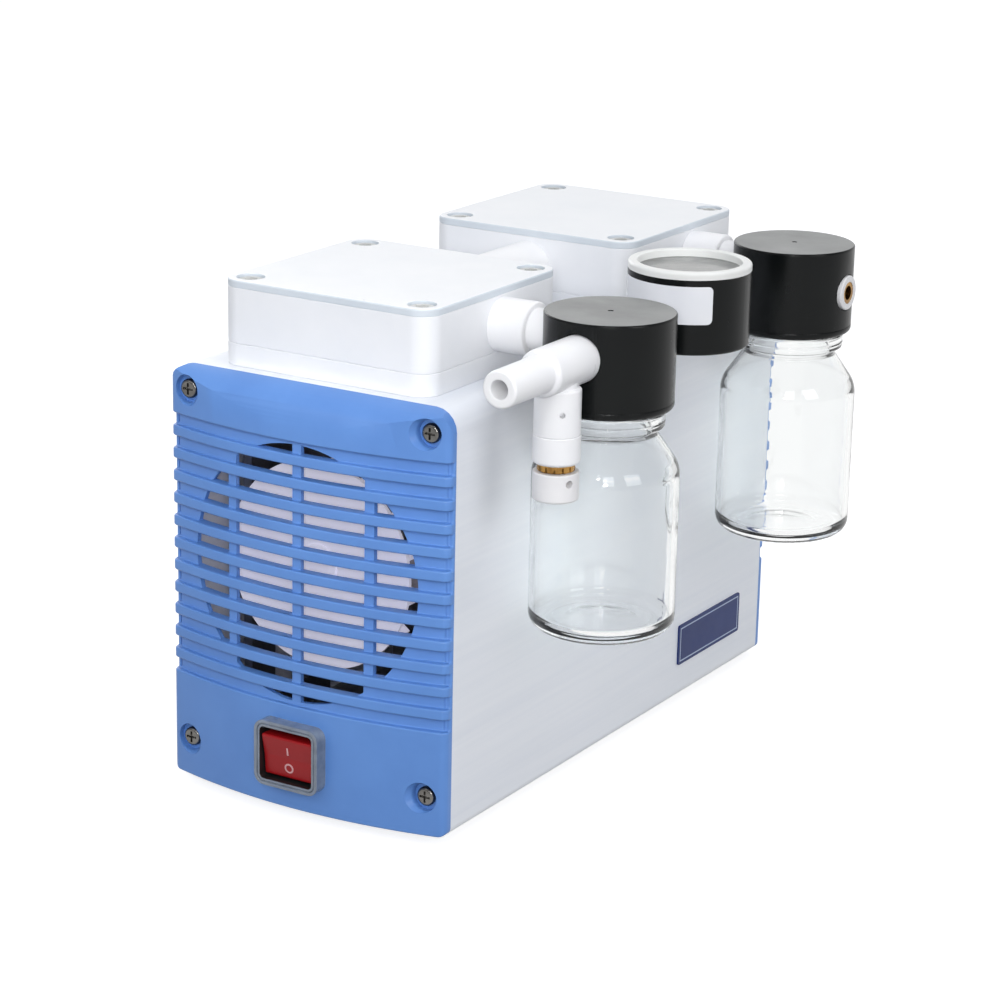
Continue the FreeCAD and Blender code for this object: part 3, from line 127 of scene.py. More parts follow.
class Wire:
    """A socket of a finish; arithmetic on it adds the Math nodes."""

    def __init__(self, finish, socket):
        self.finish = finish
        self.socket = socket

    def math(self, operation, first, second, clamp=False):
        return self.finish.math(operation, first, second, clamp)

    def __add__(self, other):
        return self.math("ADD", self, other)

    def __mul__(self, other):
        return self.math("MULTIPLY", self, other)

    def clamped(self):
        return self.math("ADD", self, 0.0, clamp=True)

    def ramp(self, low, high):
        """0 up to low, 1 from high, straight between them."""
        return self.finish.node("MapRange", {"clamp": True},
                                {"Value": self, "From Min": low, "From Max": high})


class Finish:
    """Procedural material on object coordinates."""

    def __init__(self, name, world=None):
        self.material = world or bpy.data.materials.new(name)
        self.end = "ShaderNodeOutputWorld" if world else "ShaderNodeOutputMaterial"
        self.material.use_nodes = True
        self.tree = self.material.node_tree
        self.tree.nodes.clear()
        self.place = self.node("TexCoord", output="Object")

    def node(self, kind, settings=None, sockets=None, output=0):
        """A node of that kind: its settings first, then the values or wires of its sockets."""
        new = self.tree.nodes.new("ShaderNode" + kind)
        for key, value in (settings or {}).items():
            setattr(new, key, value)
        for key, value in (sockets or {}).items():
            if isinstance(value, Wire):
                self.tree.links.new(value.socket, new.inputs[key])
            else:
                new.inputs[key].default_value = value
        return Wire(self, new.outputs[output])

    def math(self, operation, first, second, clamp=False):
        return self.node("Math", {"operation": operation, "use_clamp": clamp}, {0: first, 1: second})

    def stretched(self, scale, location=(0, 0, 0)):
        """Object coordinates in metres times a scale for each axis, then moved."""
        return self.node("Mapping", None, {"Vector": self.place, "Scale": scale, "Location": location})

    def noise(self, size, detail=3.0, roughness=0.55, stretch=(1, 1, 1)):
        """Cloudy pattern between 0 and 1 whose features are about size millimetres."""
        across = 1 / (size * mm)
        place = self.stretched(tuple(s * across for s in stretch))
        return self.node("TexNoise", None, {"Vector": place, "Scale": 1.0, "Detail": detail,
                                            "Roughness": roughness})

    def mix(self, share, first, second):
        """Colour that goes from first to second with the share."""
        return self.node("Mix", {"data_type": "RGBA"}, {0: share, 6: first, 7: second}, output=2)

    def bump(self, height, depth, under=None):
        """Normal of a height field whose range of 0 to 1 is depth millimetres."""
        sockets = {"Height": height, "Distance": depth * mm, "Strength": 1.0}
        if under:
            sockets["Normal"] = under
        return self.node("Bump", None, sockets)

    def shade(self, **sockets):
        """Ends the finish in one Principled surface; names have _ for a space."""
        return self.output(self.surface(**sockets))

    def surface(self, **sockets):
        named = {key.replace("_", " "): value for key, value in sockets.items()}
        return self.node("BsdfPrincipled", None, named)

    def output(self, shader):
        end = self.tree.nodes.new(self.end)
        self.tree.links.new(shader.socket, end.inputs["Surface"])
        return self.material


def plastic(name, colour, shade, gloss, grain=0.35, depth=0.012, spread=0.07, level=0.5, lit=0.0):
    """Moulded plastic: fine spark-eroded grain, clouds of tone, patches of gloss; lit is a painted glow, an
    emission of the plastic's own tone that makes it shine without a lamp.
    """
    f = Finish(name)
    clouds = f.noise(26, 4)
    smears = f.noise(9, 5, 0.65)
    fine = f.noise(grain, 2, 0.6)
    tone = f.mix(clouds.ramp(0.3, 0.72), colour, shade)
    return f.shade(Base_Color=tone, Emission_Color=tone, Emission_Strength=lit,
                   Roughness=(smears * spread * 2 + (gloss - spread)).clamped(),
                   Normal=f.bump(fine, depth), Specular_IOR_Level=level)


def painted_sheet(name):
    """Powder coated sheet with a fine orange skin and faint streaks along the case."""
    f = Finish(name)
    streaks = f.noise(5.5, 3, 0.5, (1, 0.035, 1))
    fine_streaks = f.noise(1.6, 2, 0.5, (1, 0.02, 1))
    skin = f.noise(0.7, 2, 0.5)
    tone = (streaks * 0.6 + fine_streaks * 0.4).ramp(0.35, 0.75)
    return f.shade(Base_Color=f.mix(tone, srgb(238, 241, 247), srgb(231, 235, 243)),
                   Roughness=streaks.ramp(0.2, 0.8) * 0.1 + 0.3,
                   Normal=f.bump(skin, 0.008, under=f.bump(fine_streaks, 0.001)))


def metal(name, colour, shade, gloss, grain=(1, 1, 1), size=0.5, depth=0.006, spread=0.08):
    """Metal with a grain that can be drawn out along an axis, and darker handled patches."""
    f = Finish(name)
    lines = f.noise(size, 3, 0.6, grain)
    patches = f.noise(7, 4, 0.6)
    return f.shade(Base_Color=f.mix(patches.ramp(0.35, 0.75), colour, shade), Metallic=1.0,
                   Roughness=(lines * spread * 2 + (gloss - spread)).clamped(),
                   Normal=f.bump(lines, depth))


def rubber(name, colour, shade):
    f = Finish(name)
    dust = f.noise(4, 5, 0.7)
    grain = f.noise(0.4, 3, 0.7)
    return f.shade(Base_Color=f.mix(dust.ramp(0.45, 0.8), colour, shade),
                   Roughness=grain * 0.16 + 0.62, Normal=f.bump(grain, 0.03))


def windings(name):
    """Lacquered copper wire, laid round the motor's axis."""
    f = Finish(name)
    turns = f.node("TexWave", {"wave_type": "RINGS", "rings_direction": "Y"},
                   {"Vector": f.stretched((1200, 1200, 1200), (36.2, 0, -120.6)), "Scale": 0.35,
                    "Distortion": 1.2, "Detail": 1.0}, output="Fac")
    return f.shade(Base_Color=f.mix(turns, srgb(120, 58, 26), srgb(196, 112, 62)), Metallic=0.85,
                   Roughness=turns * 0.2 + 0.25, Normal=f.bump(turns, 0.12))


def laminations(name):
    """Stack of punched sheets across the motor's axis."""
    f = Finish(name)
    sheets = f.node("TexWave", {"bands_direction": "Y"},
                    {"Vector": f.stretched((1000, 1000, 1000)), "Scale": 0.32,
                     "Distortion": 0.3}, output="Fac")
    rust = f.noise(6, 5, 0.7)
    return f.shade(Base_Color=f.mix(rust.ramp(0.4, 0.8), srgb(92, 92, 94), srgb(112, 98, 86)),
                   Metallic=0.8, Roughness=sheets * 0.25 + 0.35, Normal=f.bump(sheets, 0.08))


def glass(name):
    """Moulded bottle glass: clear, a breath of grey-green, slightly wavy walls."""
    f = Finish(name)
    waves = f.noise(22, 2, 0.4, (1, 1, 0.45))
    lines = f.noise(3.5, 2, 0.5, (1, 1, 0.1))
    normal = f.bump(lines, 0.02, under=f.bump(waves, 0.25))
    clear = f.surface(Base_Color=srgb(252, 253, 253), Roughness=0.0, IOR=1.5,
                      Transmission_Weight=1.0, Normal=normal)
    light = f.node("LightPath", output="Is Shadow Ray")
    through = f.node("BsdfTransparent", None, {"Color": srgb(250, 252, 251)})
    return f.output(f.node("MixShader", None, {0: light, 1: clear, 2: through}))


def tinted(name, colour, shade, passes, gloss):
    """Coloured see-through plastic."""
    f = Finish(name)
    clouds = f.noise(6, 3)
    fine = f.noise(0.5, 2)
    return f.shade(Base_Color=f.mix(clouds.ramp(0.3, 0.7), colour, shade), IOR=1.47,
                   Transmission_Weight=passes, Roughness=clouds * 0.08 + gloss,
                   Normal=f.bump(fine, 0.006), Coat_Weight=0.6, Coat_Roughness=0.05)


def floor_finish(name):
    """White floor that the camera, metal and glass see as white, with the pump's soft shadow."""
    f = Finish(name)
    sweep = f.noise(400, 2)
    grey = f.mix(sweep, srgb(112, 113, 115), srgb(120, 120, 122))
    plain = f.node("BsdfDiffuse", None, {"Color": grey})
    pale = f.node("BsdfDiffuse", None, {"Color": srgb(178, 179, 182)})
    glow = f.node("Emission", None, {"Color": (1, 1, 1, 1), "Strength": 0.78})
    lit = f.node("AddShader", None, {0: pale, 1: glow})
    white = f.node("Emission", None, {"Color": (1, 1, 1, 1), "Strength": 1.0})
    path = f.node("LightPath", output="Is Camera Ray")
    mirror = f.node("LightPath", output="Is Glossy Ray")
    beyond = f.node("LightPath", output="Is Transmission Ray")
    unseen = f.node("MixShader", None, {0: (mirror + beyond).clamped(), 1: plain, 2: white})
    return f.output(f.node("MixShader", None, {0: path, 1: unseen, 2: lit}))


def studio_world():
    """Even grey light; lens, metal and glass see a white room with dimmer side walls."""
    world = bpy.data.worlds.new("studio")
    bpy.context.scene.world = world
    f = Finish("studio", world)
    direction = f.node("TexCoord", output="Generated")
    ahead = (-math.sin(camera_azimuth), math.cos(camera_azimuth), 0)
    along = f.node("VectorMath", {"operation": "DOT_PRODUCT"}, {0: direction, 1: ahead}, output="Value")
    walls = along.ramp(0.1, 0.75)
    seen = f.mix(walls, srgb(168, 170, 174), (1, 1, 1, 1))
    behind_glass = f.mix(walls, srgb(224, 225, 228), (1, 1, 1, 1))
    camera = f.node("LightPath", output="Is Camera Ray")
    mirror = f.node("LightPath", output="Is Glossy Ray")
    beyond = f.node("LightPath", output="Is Transmission Ray")
    plain = f.node("Background", None, {"Color": srgb(242, 245, 250), "Strength": 0.6})
    room = f.node("Background", None, {"Color": f.mix(beyond, seen, behind_glass), "Strength": 1.0})
    white = f.node("Background", None, {"Color": (1, 1, 1, 1), "Strength": 1.0})
    inner = f.node("MixShader", None, {0: (mirror + beyond).clamped(), 1: plain, 2: room})
    f.output(f.node("MixShader", None, {0: camera, 1: inner, 2: white}))


finish = {
    "white_enamel": painted_sheet("white_enamel"),
    "zinc_sheet": metal("zinc_sheet", srgb(176, 180, 184), srgb(150, 155, 160), 0.42, size=2.5, spread=0.12),
    "rubber": rubber("rubber", srgb(26, 26, 27), srgb(52, 51, 50)),
    "blue_cover": plastic("blue_cover", srgb(98, 145, 214), srgb(91, 137, 206), 0.38, spread=0.06),
    "steel_screw": metal("steel_screw", srgb(124, 122, 119), srgb(78, 76, 73), 0.28, size=0.3),
    # a light, non-metal copy of the steel screws: painted reflection for the lid screws
    "lid_screw_painted_reflection": plastic("lid_screw_painted_reflection", srgb(214, 214, 212), srgb(184, 184, 182), 0.3, level=0.8),
    "bezel": tinted("bezel", srgb(168, 180, 196), srgb(138, 150, 168), 0.45, 0.12),
    "red_rocker": plastic("red_rocker", srgb(164, 22, 27), srgb(146, 17, 23), 0.3, spread=0.05, level=0.3),
    "black_plastic": plastic("black_plastic", srgb(24, 26, 27), srgb(31, 33, 34), 0.34),
    "brass": metal("brass", srgb(190, 148, 84), srgb(128, 92, 48), 0.28, size=0.4),
    "navy_plate": plastic("navy_plate", srgb(26, 44, 98), srgb(30, 50, 108), 0.42, depth=0.004, level=0.25),
    "core_steel": laminations("core_steel"),
    "copper_winding": windings("copper_winding"),
    "cast_alloy": metal("cast_alloy", srgb(162, 160, 156), srgb(128, 125, 120), 0.48, size=0.9, depth=0.03),
    # fan_plastic glows with lit=0.3: painted light on the fan seen through the grille, no lamp shines inside
    "fan_plastic": plastic("fan_plastic", srgb(238, 236, 252), srgb(230, 228, 246), 0.4, lit=0.3),
    "capacitor_white": plastic("capacitor_white", srgb(226, 226, 222), srgb(214, 214, 208), 0.35),
    "white_head": plastic("white_head", srgb(242, 243, 246), srgb(236, 238, 242), 0.34, spread=0.05),
    "lid_white": plastic("lid_white", srgb(242, 243, 245), srgb(237, 239, 242), 0.3, grain=0.6, spread=0.05),
    "lid_edge": plastic("lid_edge", srgb(218, 225, 232), srgb(208, 216, 224), 0.4),
    "diaphragm_rubber": rubber("diaphragm_rubber", srgb(34, 34, 36), srgb(58, 57, 56)),
    "white_fitting": plastic("white_fitting", srgb(247, 247, 248), srgb(242, 242, 245), 0.3, depth=0.006),
    "black_cap": plastic("black_cap", srgb(9, 11, 12), srgb(14, 17, 17), 0.25, grain=0.5, depth=0.006,
                         level=0.2),
    # cap_top is a painted sheen: light grey for the black cap's top faces in place of the top lamp's
    # reflection; its coarser grain is real
    "cap_top": plastic("cap_top", srgb(150, 151, 150), srgb(128, 129, 128), 0.46, grain=0.6, depth=0.02),
    "clear_glass": glass("clear_glass"),
    "gasket_white": rubber("gasket_white", srgb(232, 232, 228), srgb(214, 214, 208)),
    "gauge_white": plastic("gauge_white", srgb(238, 238, 236), srgb(230, 231, 229), 0.34),
    "dial_face": plastic("dial_face", srgb(226, 228, 226), srgb(218, 221, 220), 0.5, depth=0.003),
    "dial_ink": plastic("dial_ink", srgb(22, 22, 24), srgb(34, 34, 36), 0.5, depth=0.003),
    "pointer_black": plastic("pointer_black", srgb(20, 20, 21), srgb(28, 28, 29), 0.36),
    "off_white_nut": plastic("off_white_nut", srgb(238, 237, 238), srgb(228, 227, 229), 0.34),
    "label_film": plastic("label_film", srgb(240, 241, 245), srgb(232, 234, 240), 0.24, depth=0.004,
                          spread=0.04),
    "mark_white": plastic("mark_white", srgb(224, 176, 178), srgb(212, 160, 163), 0.4, depth=0.003),
    "floor": floor_finish("floor"),
    "plate_edge": plastic("plate_edge", srgb(176, 190, 214), srgb(160, 176, 204), 0.4, depth=0.004),
}


# Modelling steps

def clear_selection():
    bpy.ops.object.select_all(action="DESELECT")


def drag(move):
    """Extrudes what is selected in edit mode by a move in metres."""
    bpy.ops.mesh.extrude_region_move(TRANSFORM_OT_translate={"value": move})


def stepped(steps):
    """Insets the selected faces and drags the inner ones along Y, once for each (inset, drag)."""
    for inset, depth in steps:
        bpy.ops.mesh.inset(thickness=inset * mm)
        if depth:
            drag((0, depth * mm, 0))


def made(name):
    """Names the object that the last operator added."""
    piece = bpy.context.object
    piece.name = name
    piece.data.name = name
    return piece


def activate(piece):
    """Selects the piece alone and makes it the active one."""
    clear_selection()
    piece.select_set(True)
    bpy.context.view_layer.objects.active = piece


def edit(piece):
    activate(piece)
    bpy.ops.object.mode_set(mode="EDIT")


def leave_edit():
    bpy.ops.object.mode_set(mode="OBJECT")


def pick(piece, kind, test):
    """Selects, in edit mode, only the vertices, edges or faces that pass the test."""
    bpy.ops.mesh.select_mode(type=kind)
    bpy.ops.mesh.select_all(action="DESELECT")
    shape = bmesh.from_edit_mesh(piece.data)
    parts = {"VERT": shape.verts, "EDGE": shape.edges, "FACE": shape.faces}[kind]
    for part in parts:
        if test(part):
            part.select_set(True)
    shape.select_flush_mode()
    bmesh.update_edit_mesh(piece.data)


def modify(piece, kind, **settings):
    """Adds a modifier with its settings and applies it."""
    activate(piece)
    modifier = piece.modifiers.new(kind.lower(), kind)
    for key, value in settings.items():
        setattr(modifier, key, value)
    bpy.ops.object.modifier_apply(modifier=modifier.name)


def rounded(piece, width, segments=2, angle=30):
    """Rounds the piece's sharp edges and keeps its flat faces flat."""
    modify(piece, "BEVEL", width=width * mm, segments=segments, limit_method="ANGLE",
           angle_limit=math.radians(angle), use_clamp_overlap=False, miter_outer="MITER_ARC")
    smooth(piece)


def smooth(piece, angle=40):
    """Smooth shading that keeps edges sharper than the angle."""
    activate(piece)
    bpy.ops.object.shade_smooth_by_angle(angle=math.radians(angle))
    modify(piece, "WEIGHTED_NORMAL", keep_sharp=True, weight=50)


def settle(piece):
    """Puts the piece's place and turn into its mesh."""
    activate(piece)
    bpy.ops.object.transform_apply(location=True, rotation=True, scale=True)
    return piece


def boolean(piece, tool, operation="DIFFERENCE"):
    """Cuts the tool from the piece, or combines the two; the tool is used up."""
    modify(piece, "BOOLEAN", object=tool, operation=operation, solver="MANIFOLD")
    bpy.data.objects.remove(tool)


def block(name, low, high):
    """Block between two opposite corners in metres."""
    low, high = Vector(low), Vector(high)
    bpy.ops.mesh.primitive_cube_add(size=1, location=(low + high) / 2, scale=high - low)
    return settle(made(name))


def rod(name, start, direction, length, radius, vertices=64):
    """Round bar from a point along a direction."""
    direction = Vector(direction).normalized()
    bpy.ops.mesh.primitive_cylinder_add(vertices=vertices, radius=radius * mm, depth=length * mm,
                                        location=Vector(start) + direction * length * mm / 2)
    piece = made(name)
    piece.rotation_euler = direction.to_track_quat("Z", "Y").to_euler()
    return settle(piece)


def corner_reach(before, here, after, radius):
    """How far along its two edges a corner's rounding reaches."""
    to_last = (Vector(before[:2]) - Vector(here[:2])).normalized()
    to_next = (Vector(after[:2]) - Vector(here[:2])).normalized()
    half = math.acos(max(-1, min(1, to_last.dot(to_next)))) / 2
    return radius / math.tan(half)


def drawn(name, points, b_axis, closed):
    """Line through (a, b[, rounding]) points, a along X and b along Y or Z; left in edit mode."""
    bpy.ops.mesh.primitive_plane_add(size=mm)
    piece = made(name)
    bpy.ops.object.mode_set(mode="EDIT")
    bpy.ops.mesh.select_mode(type="VERT")
    bpy.ops.mesh.select_all(action="SELECT")
    bpy.ops.mesh.merge(type="CENTER")

    def place_of(point):
        place = Vector((point[0] * mm, 0, 0))
        place[b_axis] = point[1] * mm
        return place

    bpy.ops.transform.translate(value=place_of(points[0]))
    for last, point in zip(points, points[1:]):
        drag(place_of(point) - place_of(last))
    count = len(points)
    if closed:
        ends = (place_of(points[0]), place_of(points[-1]))
        pick(piece, "VERT", lambda v: min((v.co - end).length for end in ends) < 1e-6)
        bpy.ops.mesh.edge_face_add()
    for i, point in enumerate(points):
        if len(point) == 3 and (closed or 0 < i < count - 1):
            corner = place_of(point)
            reach = corner_reach(points[i - 1], point, points[(i + 1) % count], point[2])
            pick(piece, "VERT", lambda v: (v.co - corner).length < 1e-6)
            bpy.ops.mesh.bevel(offset=reach * mm, segments=5, affect="VERTICES")
    bpy.ops.mesh.select_mode(type="VERT")
    bpy.ops.mesh.select_all(action="SELECT")
    return piece


def turned(name, place, profile, axis="Z", steps=96, closed=False):
    """Piece turned round an axis from (radius, height[, rounding]) points."""
    piece = drawn(name, profile, 2, closed)
    bpy.ops.mesh.spin(steps=steps, angle=2 * math.pi, center=(0, 0, 0), axis=(0, 0, 1))
    bpy.ops.mesh.select_all(action="SELECT")
    bpy.ops.mesh.remove_doubles(threshold=1e-6)
    bpy.ops.mesh.normals_make_consistent(inside=False)
    leave_edit()
    piece.location = place
    piece.rotation_euler = {"X": (0, math.pi / 2, 0), "Y": (-math.pi / 2, 0, 0), "Z": (0, 0, 0)}[axis]
    return settle(piece)


def prism(name, points, along, length):
    """Solid pulled from a drawn outline of (a, b[, rounding]) points along Z, X or back along Y."""
    piece = drawn(name, points, 1, True)
    bpy.ops.mesh.edge_face_add()
    drag((0, 0, length * mm))
    bpy.ops.mesh.select_all(action="SELECT")
    bpy.ops.mesh.normals_make_consistent(inside=False)
    leave_edit()
    quarter = math.pi / 2
    piece.rotation_euler = {"Z": (0, 0, 0), "X": (quarter, 0, quarter), "Y": (quarter, 0, 0)}[along]
    return settle(piece)


def arc(centre, radius, start, end, steps):
    """Points of an arc in a drawn outline."""
    points = []
    for i in range(steps + 1):
        a = start + (end - start) * i / steps
        points.append((centre[0] + radius * math.cos(a), centre[1] + radius * math.sin(a)))
    return points


def joined(name, pieces):
    """One piece out of several."""
    clear_selection()
    for piece in pieces:
        piece.select_set(True)
    bpy.context.view_layer.objects.active = pieces[0]
    bpy.ops.object.join()
    return made(name)


def twin(name, piece):
    """A copy with a mesh of its own."""
    other = bpy.data.objects.new(name, piece.data.copy())
    bpy.context.scene.collection.objects.link(other)
    other.data.name = name
    return other


def copied(name, node):
    """A CAD node's form as a new piece, its loose triangles joined."""
    piece = bpy.data.objects.new(name, nodes[node].data.copy())
    bpy.context.scene.collection.objects.link(piece)
    piece.data.name = name
    edit(piece)
    bpy.ops.mesh.select_all(action="SELECT")
    bpy.ops.mesh.remove_doubles(threshold=2e-6)
    bpy.ops.mesh.tris_convert_to_quads(face_threshold=math.radians(0.5), shape_threshold=math.radians(60))
    leave_edit()
    return piece


def dress(piece, *names):
    """Gives a piece its finishes, the first for all its faces."""
    piece.data.materials.clear()
    for name in names:
        piece.data.materials.append(finish[name])


def stand_for(piece, slot, *replaced):
    """The finished piece takes the place of CAD nodes on their body."""
    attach(piece, body_of[replaced[0]])
    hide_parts(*replaced)


def added(piece, body):
    """A piece with no CAD node of its own, such as a mark."""
    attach(piece, body)


# Places in the row's frame, in millimetres

middle_x = -30.151        # middle of the case and its covers
joint_y = -126.463        # joint between the case and the front cover
case_length = 260.0
shaft_z = 100.5

cover_w = 130.0
cover_h = 170.0
cover_base = 4.0          # foot of the covers over the table
cover_depth = 13.0        # at the middle of the bow
cover_edge = 4.2          # depth at the sides
cover_corner_r = 3.2
cover_roll_r = 18.0
cover_top_r = 9.0
cover_foot_r = 3.0
cover_wall = 2.0          # behind the grooves
rib_h = 2.2
rib_pitch = 9.25
groove_h = 4.95
groove_rim = 1.2          # kept free of grooves at the joint
groove_count = 12
slot_w = 28.0
slot_pitch = 32.0
slot_columns = 4
grille_r = 52.0
fan_height = 96.5         # middle of the grille over the cover's foot
window_z = 23.5           # middle of the window over the cover's foot
tool_y = (-16, 2)         # from before a cover's face to behind its joint

bottle_x = 66.551
tee_z = 191.5
branch_y = -107.533
inlet_y = -69.463
outlet_y = 87.537
gauge_y = -6.463
bottle_bottom = 80.0
cap_bottom = 168.4
cap_top = 205.4
cap_r = 25.4
rocker_axis_y = -135.163
rocker_tilt = 9           # degrees
switch_z = cover_base + window_z


def at(x, y, z):
    return Vector((x, y, z)) * mm


# Pieces

def softened(node, slot, width, finishes, segments=3):
    """The CAD form with its moulded or ground edges rounded over."""
    piece = copied(node + "_soft", node)
    dress(piece, *finishes)
    rounded(piece, width, segments, angle=35)
    stand_for(piece, slot, node)
    return piece


def cover_form(inset):
    """Solid inside a cover's skin, front towards -Y, joint at y 0: bowed in plan, rolled back on top."""
    half = cover_w / 2 - inset
    depth = cover_depth - inset
    edge = max(cover_edge - inset, 0.05)
    bow = depth - edge
    bow_r = (half ** 2 + bow ** 2) / (2 * bow)
    open_angle = math.asin(half / bow_r)
    front = arc((0, bow_r - depth), bow_r, -math.pi / 2 - open_angle, -math.pi / 2 + open_angle, 26)
    if inset == 0:
        front[0] = (*front[0], cover_corner_r)
        front[-1] = (*front[-1], cover_corner_r)
    form = prism("cover_form", front + [(half, 0), (-half, 0)], "Z", cover_h)
    roll_r = cover_roll_r - inset
    back = roll_r - depth
    start_z = cover_h - inset - math.sqrt(roll_r ** 2 - back ** 2)
    roll = arc((back, start_z), roll_r, math.pi, math.acos(-back / roll_r), 12)
    side = prism("cover_side", [(1, inset), (-depth, inset)] + roll + [(1, cover_h - inset)], "X",
                 cover_w + 2)
    side.location.x = -(cover_w / 2 + 1) * mm
    boolean(form, settle(side), "INTERSECT")
    low, high = inset, cover_h - inset
    top_r, low_r = max(cover_top_r - inset, 1), max(cover_foot_r - inset, 0.5)
    section = prism("cover_section", [(-half, low, low_r), (half, low, low_r), (half, high, top_r),
                                      (-half, high, top_r)], "Y", cover_depth + 2)
    section.location.y = mm
    boolean(form, settle(section), "INTERSECT")
    return form


def cover_screw_places():
    """Middles of the four screws, from the cover's foot and middle."""
    return [(x, z) for x in (-56, 56) for z in (15.5, 160.5)]


def local_block(x, y, z):
    """Block between pairs of x, y and z."""
    return block("block", *((x[i] * mm, y[i] * mm, z[i] * mm) for i in (0, 1)))


def make_cover_blank():
    """Ribbed and slotted cover with screw recesses and softened edges, still without its window."""
    cover = cover_form(0)
    heights = [fan_height + (i - (groove_count - 1) / 2) * rib_pitch for i in range(groove_count)]
    bands = joined("bands", [local_block((-70, 70), (tool_y[0], -groove_rim),
                                         (z - groove_h / 2, z + groove_h / 2)) for z in heights])
    boolean(bands, cover_form(rib_h))
    boolean(cover, bands)
    sharp = math.radians(38)
    joint_rim, roll_z, corner_x = -0.3 * mm, 154 * mm, 58 * mm
    edit(cover)
    for offset, top in ((0.8, False), (0.2, True)):
        pick(cover, "EDGE", lambda e: len(e.link_faces) == 2 and e.calc_face_angle(0) > sharp
             and min(v.co.y for v in e.verts) < joint_rim
             and (min(v.co.z for v in e.verts) > roll_z) == top
             and not (top and max(abs(v.co.x) for v in e.verts) < corner_x))
        bpy.ops.mesh.bevel(offset=offset * mm, segments=3, clamp_overlap=False)
    leave_edit()
    hollow = cover_form(rib_h + cover_wall)
    seats = [rod("seat", (x * mm, -2.6 * mm, z * mm), (0, 1, 0), 6, 7.5, 48) for x, z in cover_screw_places()]
    boolean(hollow, joined("seats", seats))
    hollow.location.y = 0.01 * mm
    boolean(cover, settle(hollow))
    slots = []
    half = groove_h / 2 - 0.03
    for z in heights:
        for column in range(slot_columns):
            x = (column - slot_columns / 2) * slot_pitch + (slot_pitch - slot_w) / 2
            slots.append(local_block((x, x + slot_w), tool_y, (z - half, z + half)))
    slots = joined("slots", slots)
    boolean(slots, rod("disc", (0, -18 * mm, fan_height * mm), (0, 1, 0), 24, grille_r, 128), "INTERSECT")
    boolean(cover, slots)
    flared = [(0, 18), (12, 18), (7.5, 8.6), (5.5, 5.2, 2), (5.5, 2.6), (0, 2.6)]
    recesses = [turned("recess", (x * mm, 0, z * mm), [(p[0], -p[1], *p[2:]) for p in flared], "Y", 64)
                for x, z in cover_screw_places()]
    boolean(cover, joined("recesses", recesses))
    holes = [rod("hole", (x * mm, -6 * mm, z * mm), (0, 1, 0), 8, 2.1, 32) for x, z in cover_screw_places()]
    boolean(cover, joined("holes", holes))
    return cover


def make_covers():
    """Both covers from one blank; the rear one is turned round and gets the mains inlet's window."""
    front = make_cover_blank()
    rear = twin("rear_cover_shell", front)
    front.name = front.data.name = "front_cover_shell"
    for cover, half_w, half_h, y, turn, node in (
            (front, 13.4, 11.0, joint_y, 0, "front_cover"),
            (rear, 13.9, 10.6, joint_y + case_length, math.pi, "rear_cover")):
        boolean(cover, local_block((-half_w, half_w), tool_y, (window_z - half_h, window_z + half_h)))
        cover.rotation_euler.z = turn
        cover.location = at(middle_x, y, cover_base)
        settle(cover)
        dress(cover, "blue_cover")
        smooth(cover, 35)
        stand_for(cover, "blue_cover", node)


def make_bottle(side, y):
    """Blown bottle: heavy heel, pushed-up bottom, sloping shoulder, beaded neck with a thread."""
    base = bottle_bottom
    outer = [(0, base + 1.6), (14.6, base + 0.3, 2), (20.4, base, 2.2), (28.6, base, 6.0),
             (28.6, 145.4, 11.0), (19.4, 158.6, 1.2), (19.4, 161.4, 0.6), (22.0, 161.4, 0.8),
             (22.3, 164.0, 0.5), (22.0, 164.5, 0.3), (22.3, 165.0, 0.5), (22.3, 167.6, 0.8),
             (21.0, 167.6, 0.3), (21.0, 170.6, 0.4), (21.6, 171.4, 0.4), (21.6, 172.4, 0.4),
             (21.0, 173.2, 0.4), (21.0, 174.6, 0.4), (21.6, 175.4, 0.4), (21.6, 176.4, 0.4),
             (21.0, 177.2, 0.4), (21.0, 179.9, 0.8)]
    inner = [(16.8, 179.9, 0.8), (16.8, 160.0, 2.0), (26.4, 145.8, 9.0), (26.4, base + 4.0, 4.2),
             (21.6, base + 3.9, 1.2), (19.0, base + 4.3, 1.0), (0, base + 5.4)]
    bottle = turned(side + "_glass", at(bottle_x, y, 0), outer + inner, steps=128)
    dress(bottle, "clear_glass")
    smooth(bottle, 50)
    stand_for(bottle, "clear_glass", side + "_bottle")


def make_cap(side, y):
    """Moulded cap: the CAD form with a parting groove round its foot and a gate mark on top; its top faces
    are painted light grey as a painted sheen.
    """
    node = side + "_bottle_head"
    cap = copied(side + "_cap", node)
    groove_z = cap_bottom + 3.4
    inner_r, outer_r = cap_r - 0.22, cap_r + 2
    groove = [(inner_r, groove_z - 0.25), (outer_r, groove_z - 0.6), (outer_r, groove_z + 0.6),
              (inner_r, groove_z + 0.25)]
    boolean(cap, turned("groove", at(bottle_x, y, 0), groove, steps=128, closed=True))
    gate = [(0, cap_top - 0.35), (1.0, cap_top - 0.35, 0.2), (1.5, cap_top + 1), (0, cap_top + 1)]
    boolean(cap, turned("gate", at(bottle_x, y, 0), gate, steps=32))
    dress(cap, "black_cap", "cap_top")
    # top faces take cap_top, a painted sheen; the sides keep black_cap
    for face in cap.data.polygons:
        face.material_index = int(face.normal.z > 0.9 and face.center.z > (cap_top - 0.5) * mm)
    smooth(cap, 30)
    stand_for(cap, "black_cap", node)


def make_lid(end):
    """Cover plate of a head: white printed top, bare grey-blue cut edge."""
    lid = softened("lid_plate_" + end, "lid_white", 0.25, ["lid_white", "lid_edge"], segments=2)
    for face in lid.data.polygons:
        face.material_index = 0 if face.normal.z > 0.8 else 1


def on_rocker(piece, x, z):
    """Brings a piece drawn round the rocker's axis to its resting tilt and place."""
    piece.rotation_euler.x = math.radians(rocker_tilt)
    piece.location = at(x, rocker_axis_y, z)
    settle(piece)


